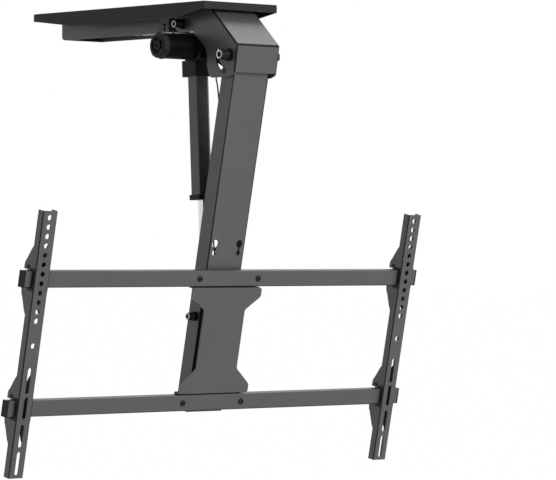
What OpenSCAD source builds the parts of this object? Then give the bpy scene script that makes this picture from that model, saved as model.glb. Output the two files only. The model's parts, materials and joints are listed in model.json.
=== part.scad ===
// Motorised flip-down ceiling mount for a flat television.
// Origin at the middle of the ceiling plate's top face, +Z up, screen side towards -Y.
// The arm is drawn hanging straight down from its hinge and then leaned back;
// the actuator is drawn hanging from its own pivot and then turned towards the arm.

/* [Ceiling plate] */
// Width of the ceiling plate
plate_w = 162; // [150:1:190]
// Length of the ceiling plate, front to back
plate_l = 450; // [430:1:520]
// Sheet thickness of the ceiling plate
plate_t = 2.5; // [2:0.1:3.5]
// Height of the short front and back flanges
end_flange_h = 13; // [10:0.5:16]
// Height of the long side flanges at their middle
side_flange_h = 25; // [20:0.5:28]
// Length over which a side flange tapers at the front
front_taper = 70; // [50:1:90]
// Length over which a side flange tapers at the back
back_taper = 105; // [80:1:130]
// Distance between the two rows of ceiling slots, across the plate
slot_span_x = 124; // [122:1:126]
// Distance between the front and back ceiling slots
slot_span_y = 360; // [300:1:380]
// Width of a ceiling slot
slot_w = 9; // [7:0.5:10]
// Length of a ceiling slot, end to end
slot_len = 26; // [20:1:28]

/* [Head bracket] */
// Outside width of the head bracket
hood_w = 93.5; // [93:0.5:98]
// Sheet thickness of the head bracket
hood_t = 3; // [2.5:0.1:3.5]
// Distance of the arm hinge in front of the ceiling plate
hinge_ahead = 23; // [20:0.5:26]
// Distance of the arm hinge below the ceiling
hinge_drop = 88.5; // [86:0.5:94]
// Distance of the actuator pivot behind the plate's front edge
pivot_behind = 93.5; // [90:0.5:97]
// Distance of the actuator pivot below the ceiling
pivot_drop = 33; // [31:0.5:35]
// Radius of the arc that the stop pins follow
stop_r = 28; // [27:0.5:29]
// Diameter of a stop pin
stop_pin_d = 7; // [6:0.5:8]

/* [Rear channel] */
// Outside width of the rear channel
channel_w = 85; // [80:0.5:87]
// Distance of the channel's lower edges below the ceiling
channel_drop = 45; // [42:0.5:50]
// Sheet thickness of the rear channel
channel_t = 2; // [1.5:0.1:3]
// Distance of the channel's back end from the plate's back edge
channel_inset = 30; // [20:1:40]
// Length of the rear channel
channel_l = 250; // [230:1:260]

/* [Arm] */
// Outside width of the arm
arm_w = 77; // [76:0.5:80]
// Depth of the arm, front to back
arm_d = 29; // [27:0.5:31]
// Sheet thickness of the arm
arm_t = 2.5; // [2:0.1:3]
// Length of the arm below its hinge
arm_l = 600; // [596:1:650]
// Lean of the arm from the vertical when it is down, in degrees
arm_lean = 12; // [10:0.5:14]
// Distance of the hinge axis behind the arm's front face
hinge_inset = 9.6; // [9:0.1:11]
// Distance of the lower pivot below the hinge
lower_pivot_s = 439.5; // [432:0.5:446]
// Distance of the lower pivot behind the arm's front face
lower_pivot_inset = 12.1; // [11.5:0.1:14]
// Distance of the keyholes below the hinge
keyhole_s = 314.4; // [300:0.5:325]
// Distance between the two keyholes, middle to middle
keyhole_span = 53; // [46:0.5:54]
// Diameter of a keyhole's round head
keyhole_d = 13.6; // [10:0.1:15]
// Width of a keyhole's neck
keyhole_neck = 4.6; // [4:0.1:7]
// Diameter of a keyhole's round foot
keyhole_foot_d = 9; // [7:0.1:10]

/* [Rails] */
// Length of a rail over its end caps
rail_l = 861; // [846:1:900]
// Height of a rail
rail_h = 27; // [25:0.5:30]
// Depth of a rail
rail_d = 13.5; // [12:0.5:14.5]
// Wall thickness of a rail
rail_t = 1.5; // [1.2:0.1:2]
// Distance of the top rail's middle below the hinge
top_rail_s = 370; // [366:0.5:373]
// Distance between the middles of the two rails
rail_pitch = 210.7; // [205:0.1:212]
// Distance between the two screws of a rail
rail_screw_span = 128; // [110:1:136]

/* [Interface plate] */
// Width of the interface plate at its rails
iface_w = 152; // [146:1:158]
// Width of the interface plate at its waist
iface_waist_w = 89; // [84:1:96]
// Sheet thickness of the interface plate
iface_t = 2.5; // [2:0.1:3]

/* [Screen brackets] */
// Distance between the two screen brackets, the wide hole spacing
vesa_w = 800; // [780:1:806]
// Height of the screen hole pattern
vesa_h = 400; // [396:0.5:402]
// Length of a screen bracket
bracket_l = 435; // [430:0.5:445]
// Width of a screen bracket
bracket_w = 29; // [28:0.5:32]
// Sheet thickness of a screen bracket
bracket_t = 2; // [1.5:0.1:2.2]
// Depth of the bracket's narrow flanges
bracket_d = 13.3; // [12.5:0.1:15]
// Depth of the bracket's wings at the rails
wing_d = 30.5; // [29.5:0.1:32]
// Distance of the bracket's top end above the top rail's middle
bracket_above = 112.3; // [108:0.1:115]
// Diameter of a screen screw hole
bracket_hole_d = 8.6; // [6:0.1:9]
// Width of a screen screw slot
bracket_slot_w = 7.2; // [6:0.1:8]
// Distance between the round screw holes
bracket_hole_pitch = 15.2; // [15:0.1:15.6]

/* [Actuator] */
// Distance of the actuator's middle to the left of the mount's middle
act_left = 14; // [12:0.5:15]
// Width of the actuator's outer tube
tube_w = 31; // [30:0.5:32]
// Depth of the actuator's outer tube
tube_d = 22; // [21:0.5:23.5]
// Distance of the outer tube's lower end from the actuator pivot
tube_end_a = 283; // [275:1:288]
// Diameter of the piston rod
rod_d = 16; // [15:0.5:17]
// Diameter of the lead screw
screw_d = 10; // [9:0.5:10.5]
// Diameter of the motor
motor_d = 42; // [38:0.5:43]
// Length of the motor's steel can
motor_can_l = 64; // [56:1:68]
// Distance of the motor's axis from the actuator pivot, along the tube
motor_a = 39.6; // [39:0.1:41]
// Distance of the motor's axis in front of the tube's axis
motor_ahead = 16; // [15.5:0.1:17]

/* [Control box] */
// Width of the control box
box_w = 34; // [30:0.5:35]
// Length of the control box
box_l = 118; // [110:1:130]
// Height of the control box
box_h = 33; // [28:0.5:35]
// Wall thickness of the control box
box_t = 2; // [1.5:0.1:2.5]

/* [Hidden] */
$fn = 48;

// Shared clearances
fit = 0.05; // running clearance on a radius
gap = 0.3; // clearance between faces that move past each other
edge = 0.5; // small chamfer and lip

// Places of the three pivots, in the upright plane at right angles to the hinge
hinge_y = -plate_l / 2 - hinge_ahead;
hinge_z = -hinge_drop;
pivot_y = -plate_l / 2 + pivot_behind;
pivot_z = -pivot_drop;
lower_n = hinge_inset - lower_pivot_inset;
lower_y = hinge_y + lower_pivot_s * sin(arm_lean) - lower_n * cos(arm_lean);
lower_z = hinge_z - lower_pivot_s * cos(arm_lean) - lower_n * sin(arm_lean);
act_lean = atan2(lower_y - pivot_y, pivot_z - lower_z);
act_len = sqrt(pow(lower_y - pivot_y, 2) + pow(pivot_z - lower_z, 2));

// Bolts and pins
hinge_bolt_d = 10;
hinge_head_d = 16;
hinge_head_l = 10;
hinge_collar_d = 19;
hinge_collar_l = 9;
washer_t = 2;
pivot_bolt_d = 8;
pivot_head_d = 13;
pivot_head_l = 9;
pivot_collar_d = 17;
pivot_collar_l = 9;
pivot_washer_t = 1.5;
stud_head_d = 12.5;
stud_head_l = 8;
stud_body_d = 15.7;
stud_body_l = 9;
socket_depth = 5;
nut_af = 16;
stop_turn = 78; // travel of the arm, in degrees
stop_a0 = -67; // direction of a stop pin from the hinge, in degrees above the back
slot_slack = 1.2; // the stop slot's clearance on each side of the pin

// Head bracket
hood_half = hood_w / 2;
hood_in = hood_half - hood_t;
lug_below = 13;
lug_behind = 18.4;
lug_r = 12;
slant_y = 22;
slant_z = 16.5;
slant_slope = 0.95; // fall of the slanted face for each millimetre forward
slant_top_y = hinge_y - slant_y + (hinge_drop - slant_z - plate_t) / slant_slope;

// Rear channel
channel_back_y = plate_l / 2 - channel_inset;
channel_front_y = channel_back_y - channel_l;
channel_nose = 12;

// Arm
arm_half = arm_w / 2;
arm_back_n = hinge_inset - arm_d;
bush_r = hinge_bolt_d / 2 + 2;
keyhole_drop = 15.2; // from the middle of a keyhole's head to its foot's
lug_reach = 38; // from the hinge to the far end of the lug behind it

// Rails and interface plate, as distances below the hinge and in front of its axis
rail_back_n = hinge_inset + iface_t;
rail_front_n = rail_back_n + rail_d;
rail_s = [top_rail_s, top_rail_s + rail_pitch];
iface_gap = 1.5;
iface_top_s = rail_s[0] + rail_h / 2 + iface_gap;
iface_bottom_s = rail_s[1] - rail_h / 2 - iface_gap;
ear_h = 27;
shoulder_h = 18;
cap_t = 3;
tube_half = rail_l / 2 - cap_t;

// Screen brackets
web_front_n = rail_front_n + 7.4;
bracket_top_s = top_rail_s - bracket_above;
bracket_half = bracket_w / 2;
notch_gap = 0.4; // between a rail's front and the notch
notch_over = 0.6; // between a rail's edges and the notch
relief_l = 8; // length of the reliefs in the notch's front corners
relief_h = 4.5; // height of the reliefs beyond a rail's edges
pin_above = 5.5; // the cross pin's middle above its rail
pin_d = 4;

// Actuator
eye_r = 11;
eye_l = 20;
house_top_a = 20;
house_end_a = 59;
house_half = 17;
house_front = 29;
house_back = 15.5;
collar_end_a = 86;
collar_back = 23;
wall = 2;
neck_r = 12;
neck_l = 10;
motor_cap_l = 12;
end_cap_l = 9;
end_cap_over = 2.5;
rod_end_r = 9;
rod_eye_l = 20;
cross_r = 6;
rod_top_a = act_len - 230;
nut_l = 22;
screw_end_a = rod_top_a + nut_l + 4;
wheel_r = motor_ahead - 5.1;
worm_r = 5;
wheel_t = 10;

// Control box
box_left = 5;
box_top = plate_t + channel_t + gap;
box_front_y = -43;
box_end_l = 8;

// Lead to the infrared receiver
lead_d = 2.5;
// The lead is cut at the hinge, where its two halves meet on a plane across the hinge axis
lead_join = [-27, 11.8, 2.1]; // in the arm's frame
lead_upper_pts = [
    [22, box_front_y - 4, -26], [22, -62, -26.2], [22, -79, -26], [22, -88, -25.5], [19, -98, -21], [13, -110, -15.5], [5, -124, -14], [-3, -140, -14],
    [-10, -156, -14], [-15, -172, -14], [-18, -188, -15], [-19, -202, -19.5], [-19, -213, -27],
    [-19, -222, -38], [-19, -229, -50], [-19, -234, -62], [-19, -237, -73], [-20, -238, -80],
    arm_point(lead_join + [4, 0, 0]), arm_point(lead_join + [gap, 0, 0])
];
// In the arm's frame
lead_lower_pts = [
    lead_join - [gap, 0, 0], [-30, 11.8, 1.5], [-32, 11, -5.5], [-32, 14, -15], [-32, 20.5, -23.5], [-32, 29.5, -30.5],
    [-32, 37, -37.5], [-32, 39.5, -45], [-32, 34, -56], [-32, 29.5, -68], [-32, 23.5, -84], [-32, 17, -104],
    [-32, 11.5, -124], [-32, 7.5, -146], [-32, 5.5, -170], [-32, 5.5, -200], [-32, 5.5, -232],
    [-32, 5.5, -262], [-31.5, 2, -280], [-30, -3, -292], [-28.4, -5.2, -302], [-27.2, -5.2, -313],
    [-24, -5.2, -323], [-21.8, -5.2, -333], [-22, -5.2, -352], [-24, -5.3, -372], [-26.5, -5.3, -395], [-28, -5.3, -420], [-29, -5.3, -440], [-29, -5.3, -465], [-28.5, -5, -490],
    [-26, -4, -512], [-20, -2.6, -532], [-10, -1.6, -548], [-3, -1.1, -558], [0, -1.1, -566], [0, -1.1, -573]
];
function arm_point(p) = [
    p[0],
    hinge_y + p[1] * cos(arm_lean) - p[2] * sin(arm_lean),
    hinge_z + p[1] * sin(arm_lean) + p[2] * cos(arm_lean)
];

echo(actuator_length = act_len, actuator_lean = act_lean);

// Frames and small helpers

// Places its children from the arm's own upright frame: hinge at the origin, front towards -Y
module arm_frame() translate([0, hinge_y, hinge_z]) rotate([arm_lean, 0, 0]) children();

// Places its children from the actuator's own upright frame: pivot at the origin, rod downwards
module act_frame() translate([-act_left, pivot_y, pivot_z]) rotate([act_lean, 0, 0]) children();

// A round bar along X from x0 to x1
module x_rod(x0, x1, d) translate([x0, 0, 0]) rotate([0, 90, 0]) cylinder(h = x1 - x0, d = d);

// A block between two corners
module block(a, b) translate(a) cube(b - a);

// A sheet cut to an outline of [y, z] points, its left face at x
module side_sheet(x, t) translate([x, 0, 0]) rotate([90, 0, 90]) linear_extrude(height = t) children();

// A sheet cut to an outline of [x, z] points, its front face at y
module front_sheet(y, t) translate([0, y + t, 0]) rotate([90, 0, 0]) linear_extrude(height = t) children();

// A slot along X, cut upwards through a sheet
module x_slot(w, l, h) {
    for (s = [-1, 1]) translate([s * (l - w) / 2, 0, -1]) cylinder(h = h + 2, d = w);
    translate([-(l - w) / 2, -w / 2, -1]) cube([l - w, w, h + 2]);
}

// A slot down a screen bracket's web
module web_slot(w, l, t) {
    for (s = [-1, 1]) translate([0, 1, s * (l - w) / 2]) rotate([90, 0, 0]) cylinder(h = t + 2, d = w);
    translate([-w / 2, -t - 1, -(l - w) / 2]) cube([w, t + 2, l - w]);
}

// A hexagon nut or socket along X, by its width across flats
module x_hex(x0, x1, af) translate([x0, 0, 0]) rotate([0, 90, 0]) cylinder(h = x1 - x0, d = af / cos(30), $fn = 6);

// A round tube swept along points, with its rings square to the route
function unit(v) = v / norm(v);
function way(p, i) = unit(i == 0 ? p[1] - p[0] : i == len(p) - 1 ? p[i] - p[i - 1] : p[i + 1] - p[i - 1]);
function carried(p, i) =
    i == 0 ? unit(cross(way(p, 0), [1, 0.2, 0.1])) : let (d = way(p, i), a = carried(p, i - 1)) unit(a - (a * d) * d);
function ring(p, i, r, n) =
    let (d = way(p, i), a = carried(p, i), b = cross(d, a))
    [for (k = [0 : n - 1]) p[i] + r * (cos(360 * k / n) * a + sin(360 * k / n) * b)];
module sweep(p, d, n = 8) {
    m = len(p);
    points = [for (i = [0 : m - 1]) each ring(p, i, d / 2, n)];
    sides = [for (i = [0 : m - 2], k = [0 : n - 1])
        let (a = i * n + k, b = i * n + (k + 1) % n)
        each [[a, b, b + n], [a, b + n, a + n]]];
    caps = [[for (k = [n - 1 : -1 : 0]) k], [for (k = [0 : n - 1]) (m - 1) * n + k]];
    polyhedron(points, concat(sides, caps));
}

// Ceiling plate

module side_flange_outline() polygon([
    [-plate_l / 2, 0], [plate_l / 2, 0], [plate_l / 2, -end_flange_h],
    [plate_l / 2 - back_taper, -side_flange_h], [-plate_l / 2 + front_taper, -side_flange_h],
    [-plate_l / 2, -end_flange_h]
]);

module ceiling_plate() color("#3a3a3a") difference() {
    union() {
        translate([-plate_w / 2, -plate_l / 2, -plate_t]) cube([plate_w, plate_l, plate_t]);
        for (y = [-plate_l / 2, plate_l / 2 - plate_t])
            translate([-plate_w / 2, y, -end_flange_h]) cube([plate_w, plate_t, end_flange_h]);
        for (x = [-plate_w / 2, plate_w / 2 - plate_t]) side_sheet(x, plate_t) side_flange_outline();
    }
    for (x = [-1, 1], y = [-1, 1])
        translate([x * slot_span_x / 2, y * slot_span_y / 2, -plate_t]) x_slot(slot_w, slot_len, plate_t);
    hood_screw_places() translate([0, 0, -plate_t - 1]) cylinder(h = plate_t + 2, d = plate_screw_d);
    channel_screw_places() translate([0, 0, -plate_t - 1]) cylinder(h = plate_t + 2, d = plate_screw_d);
}

// Screws that hold the head bracket and the channel under the plate
plate_screw_d = 6;
plate_screw_head_d = 10.5;
plate_screw_head_h = 3;
screw_x = 24;
module hood_screw_places()
    for (x = [-screw_x, screw_x], y = [slant_top_y + 14, pivot_y - 8]) translate([x, y, 0]) children();
module channel_screw_places() {
    for (x = [-screw_x, screw_x], y = [box_front_y + box_l + 15, channel_back_y - 20])
        translate([x, y, 0]) children();
    translate([-screw_x, channel_front_y + 20, 0]) children();
}

// A button screw that comes up through t of sheet and the plate
module plate_screw(t) difference() {
    union() {
        translate([0, 0, -plate_t - t]) cylinder(h = plate_t + t - 0.2, d = plate_screw_d);
        translate([0, 0, -plate_t - t - plate_screw_head_h]) cylinder(h = plate_screw_head_h, d = plate_screw_head_d);
    }
    translate([0, 0, -plate_t - t - plate_screw_head_h - 1]) cylinder(h = 2.8, d = 4.6, $fn = 6);
}

module bracket_screws() color("#202020") {
    hood_screw_places() plate_screw(hood_t);
    channel_screw_places() plate_screw(channel_t);
}

// Head bracket

// Outline of a cheek, as [y, z] points
module cheek_outline() {
    difference() {
        polygon([
            [slant_top_y, -plate_t],
            [hinge_y - slant_y, hinge_z + slant_z],
            [hinge_y - 14, hinge_z - 29],
            [hinge_y - 10, hinge_z - 32.5],
            [hinge_y - 1, hinge_z - 36],
            [hinge_y + 44, hinge_z - 36],
            [hinge_y + 49.5, hinge_z - 30],
            [hinge_y + 54, hinge_z - 18],
            [hinge_y + 54, hinge_z + 2],
            [hinge_y + 58, hinge_z + 13.5],
            [hinge_y + 71, hinge_z + 25.5],
            [pivot_y - 31, pivot_z - 18.5],
            [pivot_y - 27, pivot_z - lug_below],
            [pivot_y + lug_behind - lug_r, pivot_z - lug_below],
            [pivot_y + lug_behind - lug_r, pivot_z - lug_below + lug_r],
            [pivot_y + lug_behind, pivot_z - lug_below + lug_r],
            [pivot_y + lug_behind, -plate_t]
        ]);
    }
    translate([pivot_y + lug_behind - lug_r, pivot_z - lug_below + lug_r]) circle(r = lug_r);
}

// The arc slot that a stop pin runs in, round the hinge
slot_half = stop_pin_d / 2 + slot_slack;
slot_a0 = stop_a0 - (slot_half - stop_pin_d / 2 - gap) * 180 / (PI * stop_r) * -1;
slot_a1 = stop_a0 + stop_turn + 1;
module stop_slot_outline() translate([hinge_y, hinge_z]) {
    intersection() {
        difference() {
            circle(r = stop_r + slot_half);
            circle(r = stop_r - slot_half);
        }
        polygon([
            [0, 0],
            60 * [cos(slot_a0), sin(slot_a0)],
            80 * [cos((slot_a0 + slot_a1) / 2), sin((slot_a0 + slot_a1) / 2)],
            60 * [cos(slot_a1), sin(slot_a1)]
        ]);
    }
    for (a = [slot_a0, slot_a1]) translate(stop_r * [cos(a), sin(a)]) circle(r = slot_half);
}

module head_bracket() color("#4a4a4a") difference() {
    union() {
        for (x = [-hood_half, hood_half - hood_t]) side_sheet(x, hood_t) difference() {
            cheek_outline();
            stop_slot_outline();
        }
        // Top, slanted face and front face, one bent sheet between the cheeks
        side_sheet(-hood_in, 2 * hood_in) polygon([
            [pivot_y + lug_behind, -plate_t],
            [slant_top_y, -plate_t],
            [hinge_y - slant_y, hinge_z + slant_z],
            [hinge_y - 14, hinge_z - 29],
            [hinge_y - 14 + hood_t, hinge_z - 29],
            [hinge_y - slant_y + hood_t, hinge_z + slant_z - 1.2],
            [slant_top_y + 1.2, -plate_t - hood_t],
            [pivot_y + lug_behind, -plate_t - hood_t]
        ]);
    }
    translate([0, hinge_y, hinge_z]) x_rod(-hood_half - 1, hood_half + 1, hinge_bolt_d + 2 * fit);
    translate([0, pivot_y, pivot_z]) x_rod(-hood_half - 1, hood_half + 1, pivot_bolt_d + 2 * fit);
    hood_screw_places() translate([0, 0, -plate_t - hood_t - 1]) cylinder(h = hood_t + 2, d = plate_screw_d);
}

// Rear channel, open downwards, with its back end closed

module channel_wall_outline() polygon([
    [channel_front_y - channel_nose, -plate_t - channel_t],
    [channel_front_y - channel_nose, -28],
    [channel_front_y, -channel_drop],
    [channel_back_y - 5, -channel_drop],
    [channel_back_y, -channel_drop + 5],
    [channel_back_y, -plate_t - channel_t]
]);

module rear_channel() color("#474747") difference() {
    union() {
        block([-channel_w / 2, channel_front_y - channel_nose, -plate_t - channel_t],
              [channel_w / 2, channel_back_y, -plate_t]);
        for (x = [-channel_w / 2, channel_w / 2 - channel_t]) side_sheet(x, channel_t) channel_wall_outline();
        side_sheet(-channel_w / 2, channel_w) polygon([
            [channel_back_y, -plate_t - channel_t], [channel_back_y, -channel_drop + 5],
            [channel_back_y - 5, -channel_drop], [channel_back_y - 5 - channel_t, -channel_drop],
            [channel_back_y - channel_t, -channel_drop + 5 + channel_t * 0.4],
            [channel_back_y - channel_t, -plate_t - channel_t]
        ]);
    }
    channel_screw_places() translate([0, 0, -plate_t - channel_t - 1])
        cylinder(h = channel_t + 2, d = plate_screw_d);
    // Opening for the power inlet
    translate([box_left + box_w / 2, channel_back_y + 1, -box_top - box_h / 2]) rotate([90, 0, 0])
        cylinder(h = channel_t + 2, d = 14);
}

// Hinge and pivot bolts

module hinge_bolt() color("#1c1c1c") translate([0, hinge_y, hinge_z]) difference() {
    union() {
        x_rod(-hood_half - hinge_collar_l, hood_half + 14, hinge_bolt_d);
        x_rod(-hood_half - hinge_collar_l - washer_t, -hood_half - washer_t, hinge_collar_d);
        x_rod(-hood_half - hinge_collar_l - washer_t - hinge_head_l, -hood_half - hinge_collar_l - washer_t,
              hinge_head_d);
    }
    x_hex(-hood_half - hinge_collar_l - washer_t - hinge_head_l - 1,
          -hood_half - hinge_collar_l - washer_t - hinge_head_l + socket_depth, 8);
}

module hinge_nut() color("#1c1c1c") translate([0, hinge_y, hinge_z]) difference() {
    x_hex(hood_half + washer_t, hood_half + washer_t + 10, nut_af);
    x_rod(hood_half, hood_half + 20, hinge_bolt_d);
}

module hinge_washers() color("#2a2a2a") translate([0, hinge_y, hinge_z]) difference() {
    union() {
        x_rod(-hood_half - washer_t, -hood_half, 22);
        x_rod(hood_half, hood_half + washer_t, 22);
        x_rod(-hood_in, -arm_half - gap, 18);
        x_rod(arm_half + gap, hood_in, 18);
    }
    x_rod(-hood_half - 10, hood_half + 10, hinge_bolt_d);
}

module actuator_bolt() color("#1c1c1c") translate([0, pivot_y, pivot_z]) difference() {
    union() {
        x_rod(-hood_half - pivot_collar_l, hood_half + 11, pivot_bolt_d);
        x_rod(-hood_half - pivot_collar_l - pivot_washer_t, -hood_half, pivot_collar_d);
        x_rod(-hood_half - pivot_collar_l - pivot_washer_t - pivot_head_l,
              -hood_half - pivot_collar_l - pivot_washer_t, pivot_head_d);
    }
    x_hex(-hood_half - pivot_collar_l - pivot_washer_t - pivot_head_l - 1,
          -hood_half - pivot_collar_l - pivot_washer_t - pivot_head_l + socket_depth, 6);
}

module actuator_nut() color("#1c1c1c") translate([0, pivot_y, pivot_z]) difference() {
    x_hex(hood_half, hood_half + 8, 13);
    x_rod(hood_half - 1, hood_half + 20, pivot_bolt_d);
}

module pivot_sleeves() color("#8c8c8c") translate([0, pivot_y, pivot_z]) difference() {
    union() {
        x_rod(-hood_in, -act_left - eye_l / 2 - gap, 14);
        x_rod(-act_left + eye_l / 2 + gap, hood_in, 14);
    }
    x_rod(-hood_half, hood_half, pivot_bolt_d);
}

// Control box and its parts

socket_y = box_front_y + 18.6;
socket_z = [-27, -34];
module control_box() color("#8f9194") difference() {
    union() {
        block([box_left, box_front_y + box_end_l, -box_top - box_h],
              [box_left + box_w, box_front_y + box_l - box_end_l, -box_top]);
    }
    block([box_left + box_t, box_front_y + box_end_l + box_t, -box_top - box_h - 1],
          [box_left + box_w - box_t, box_front_y + box_l - box_end_l - box_t, -box_top - box_t]);
    // Two sockets in the left side
    for (z = socket_z) translate([0, socket_y, z]) x_rod(box_left - 1, box_left + box_t + 1, 5);
}

module control_box_lid() color("#7d7f82") difference() {
    block([box_left, box_front_y + box_end_l, -box_top - box_h - box_t],
          [box_left + box_w, box_front_y + box_l - box_end_l, -box_top - box_h]);
    box_screw_places() translate([0, 0, -box_t - 1]) cylinder(h = box_t + 2, d = 3);
}

// End caps, the front one with the gland that the lead leaves by
module control_box_ends() color("#1e1e1e") {
    for (y = [box_front_y, box_front_y + box_l - box_end_l])
        block([box_left, y, -box_top - box_h - box_t], [box_left + box_w, y + box_end_l, -box_top]);
    translate([box_left + box_w / 2, box_front_y, -26]) rotate([90, 0, 0]) cylinder(h = 4, d = lead_d + 4);
}

module box_screw_places()
    for (y = [box_front_y + box_end_l + 8, box_front_y + box_l - box_end_l - 8])
        translate([box_left + box_w / 2, y, -box_top - box_h]) children();

module control_box_screws() color("#2a2a2a") box_screw_places() {
    translate([0, 0, -box_t]) cylinder(h = box_t + 6, d = 3);
    translate([0, 0, -box_t - 2]) cylinder(h = 2, d = 5.5);
}

board_z = -box_top - box_h + 8;
module circuit_board() color("#2f6b3a")
    block([box_left + box_t + gap, box_front_y + box_end_l + 4, board_z],
          [box_left + box_w - box_t - gap, box_front_y + box_l - box_end_l - 4, board_z + 1.6]);

module board_parts() color("#33475c") translate([0, 0, board_z + 1.6]) {
    for (y = [22, 40]) block([box_left + 6, box_front_y + y, 0], [box_left + 21, box_front_y + y + 12, 12]);
    for (y = [62, 76]) translate([box_left + 13, box_front_y + y, 0]) cylinder(h = 12, d = 9);
    block([box_left + 8, box_front_y + 86, 0], [box_left + 24, box_front_y + 98, 4]);
}

module dc_inlet() color("#1e1e1e")
    translate([box_left + box_w / 2, 0, -box_top - box_h / 2]) rotate([-90, 0, 0]) difference() {
        union() {
            translate([0, 0, box_front_y + box_l]) cylinder(h = channel_back_y - box_front_y - box_l, d = 9);
            translate([0, 0, channel_back_y - channel_t - 6]) cylinder(h = channel_t + 8, d = 13.6);
            translate([0, 0, channel_back_y]) cylinder(h = 2, d = 17);
        }
        translate([0, 0, channel_back_y - 8]) cylinder(h = 12, d = 5.6);
    }

module lead_upper() color("#161616") sweep(lead_upper_pts, lead_d);

// Arm

// Outline of an arm wall, as [y, z] points in the arm's frame
module arm_wall_outline() {
    circle(r = hinge_inset);
    polygon([
        [-hinge_inset, 0], [-hinge_inset, -arm_l], [-arm_back_n, -arm_l],
        [-arm_back_n, -23], [lug_reach - 3, -19], [lug_reach, -14], [lug_reach - 1, -8],
        [lug_reach * 0.8, -3], [hinge_inset, 2]
    ]);
}

module arm_channel() color("#5e5e5e") arm_frame() difference() {
    union() {
        for (x = [-arm_half, arm_half - arm_t]) side_sheet(x, arm_t) arm_wall_outline();
        block([-arm_half, -hinge_inset, -arm_l], [arm_half, -hinge_inset + arm_t, 0]);
    }
    // Bushes, stop pins and lower pivot
    x_rod(-arm_half - 1, arm_half + 1, 2 * bush_r);
    rotate([-arm_lean, 0, 0]) translate(stop_place()) x_rod(-arm_half - 1, arm_half + 1, stop_pin_d - 3);
    translate([0, -lower_n, -lower_pivot_s]) x_rod(-arm_half - 1, arm_half + 1, pivot_bolt_d + 2);
    // Keyholes
    for (x = [-keyhole_span / 2, keyhole_span / 2]) translate([x, -hinge_inset - 1, -keyhole_s]) rotate([-90, 0, 0]) {
        cylinder(h = arm_t + 2, d = keyhole_d);
        translate([0, keyhole_drop, 0]) cylinder(h = arm_t + 2, d = keyhole_foot_d);
        translate([-keyhole_neck / 2, 0, 0]) cube([keyhole_neck, keyhole_drop, arm_t + 2]);
    }
}

function stop_place() = [0, stop_r * cos(stop_a0), stop_r * sin(stop_a0)];

module hinge_bushes() color("#a58a4a") arm_frame() difference() {
    union() for (s = [-1, 1]) {
        x_rod(s < 0 ? -arm_half : arm_half - arm_t, s < 0 ? -arm_half + arm_t : arm_half, 2 * bush_r);
        x_rod(s < 0 ? -arm_half + arm_t : arm_half - arm_t - 1.5,
              s < 0 ? -arm_half + arm_t + 1.5 : arm_half - arm_t, 2 * bush_r + 3);
    }
    x_rod(-arm_half - 1, arm_half + 1, hinge_bolt_d + 2 * fit);
    // A flat on each flange, against the arm's front web
    block([-arm_half, -bush_r - 5, -bush_r - 5], [arm_half, -hinge_inset + arm_t + fit, bush_r + 5]);
}

module stop_pins() color("#202020") translate([0, hinge_y, hinge_z]) translate(stop_place()) {
    for (s = [-1, 1]) {
        x_rod(s < 0 ? -hood_half : arm_half, s < 0 ? -arm_half : hood_half, stop_pin_d);
        x_rod(s < 0 ? -arm_half : arm_half - arm_t - 1, s < 0 ? -arm_half + arm_t + 1 : arm_half, stop_pin_d - 3);
    }
}

// Interface plate: a pressed I shape between the rails, with an ear behind each rail

module iface_outline() {
    w = iface_w / 2;
    q = iface_waist_w / 2;
    slope = w - q;
    polygon([
        [-w + 4, -iface_top_s], [w - 4, -iface_top_s], [w, -iface_top_s - 3],
        [w, -iface_top_s - shoulder_h + 4], [w - 3, -iface_top_s - shoulder_h],
        [q + 2, -iface_top_s - shoulder_h - slope * 0.6], [q, -iface_top_s - shoulder_h - slope * 0.6 - 4],
        [q, -iface_bottom_s + shoulder_h + slope * 0.72 + 4], [q + 2, -iface_bottom_s + shoulder_h + slope * 0.72],
        [w - 3, -iface_bottom_s + shoulder_h], [w, -iface_bottom_s + shoulder_h - 4],
        [w, -iface_bottom_s + 3], [w - 4, -iface_bottom_s], [-w + 4, -iface_bottom_s], [-w, -iface_bottom_s + 3],
        [-w, -iface_bottom_s + shoulder_h - 4], [-w + 3, -iface_bottom_s + shoulder_h],
        [-q - 2, -iface_bottom_s + shoulder_h + slope * 0.72], [-q, -iface_bottom_s + shoulder_h + slope * 0.72 + 4],
        [-q, -iface_top_s - shoulder_h - slope * 0.6 - 4], [-q - 2, -iface_top_s - shoulder_h - slope * 0.6],
        [-w + 3, -iface_top_s - shoulder_h], [-w, -iface_top_s - shoulder_h + 4],
        [-w, -iface_top_s - 3]
    ]);
}

module interface_plate() color("#606060") arm_frame() difference() {
    union() {
        front_sheet(-rail_front_n, iface_t) iface_outline();
        for (e = [[iface_top_s, 1], [iface_bottom_s, -1]]) {
            block([-iface_w / 2 + 4, -rail_front_n, min(-e[0], -e[0] - e[1] * iface_t)],
                  [iface_w / 2 - 4, -hinge_inset, max(-e[0], -e[0] - e[1] * iface_t)]);
            block([-iface_w / 2 + 4, -rail_back_n, min(-e[0] - e[1] * iface_t, -e[0] + e[1] * ear_h)],
                  [iface_w / 2 - 4, -hinge_inset, max(-e[0] - e[1] * iface_t, -e[0] + e[1] * ear_h)]);
        }
    }
    rail_screw_places() translate([0, -rail_back_n - 1, 0]) rotate([-90, 0, 0])
        cylinder(h = iface_t + 2, d = rail_screw_d);
}

// Rails

rail_screw_d = 6;
module rail_screw_places()
    for (s = rail_s, x = [-rail_screw_span / 2, rail_screw_span / 2]) translate([x, 0, -s]) children();

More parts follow.
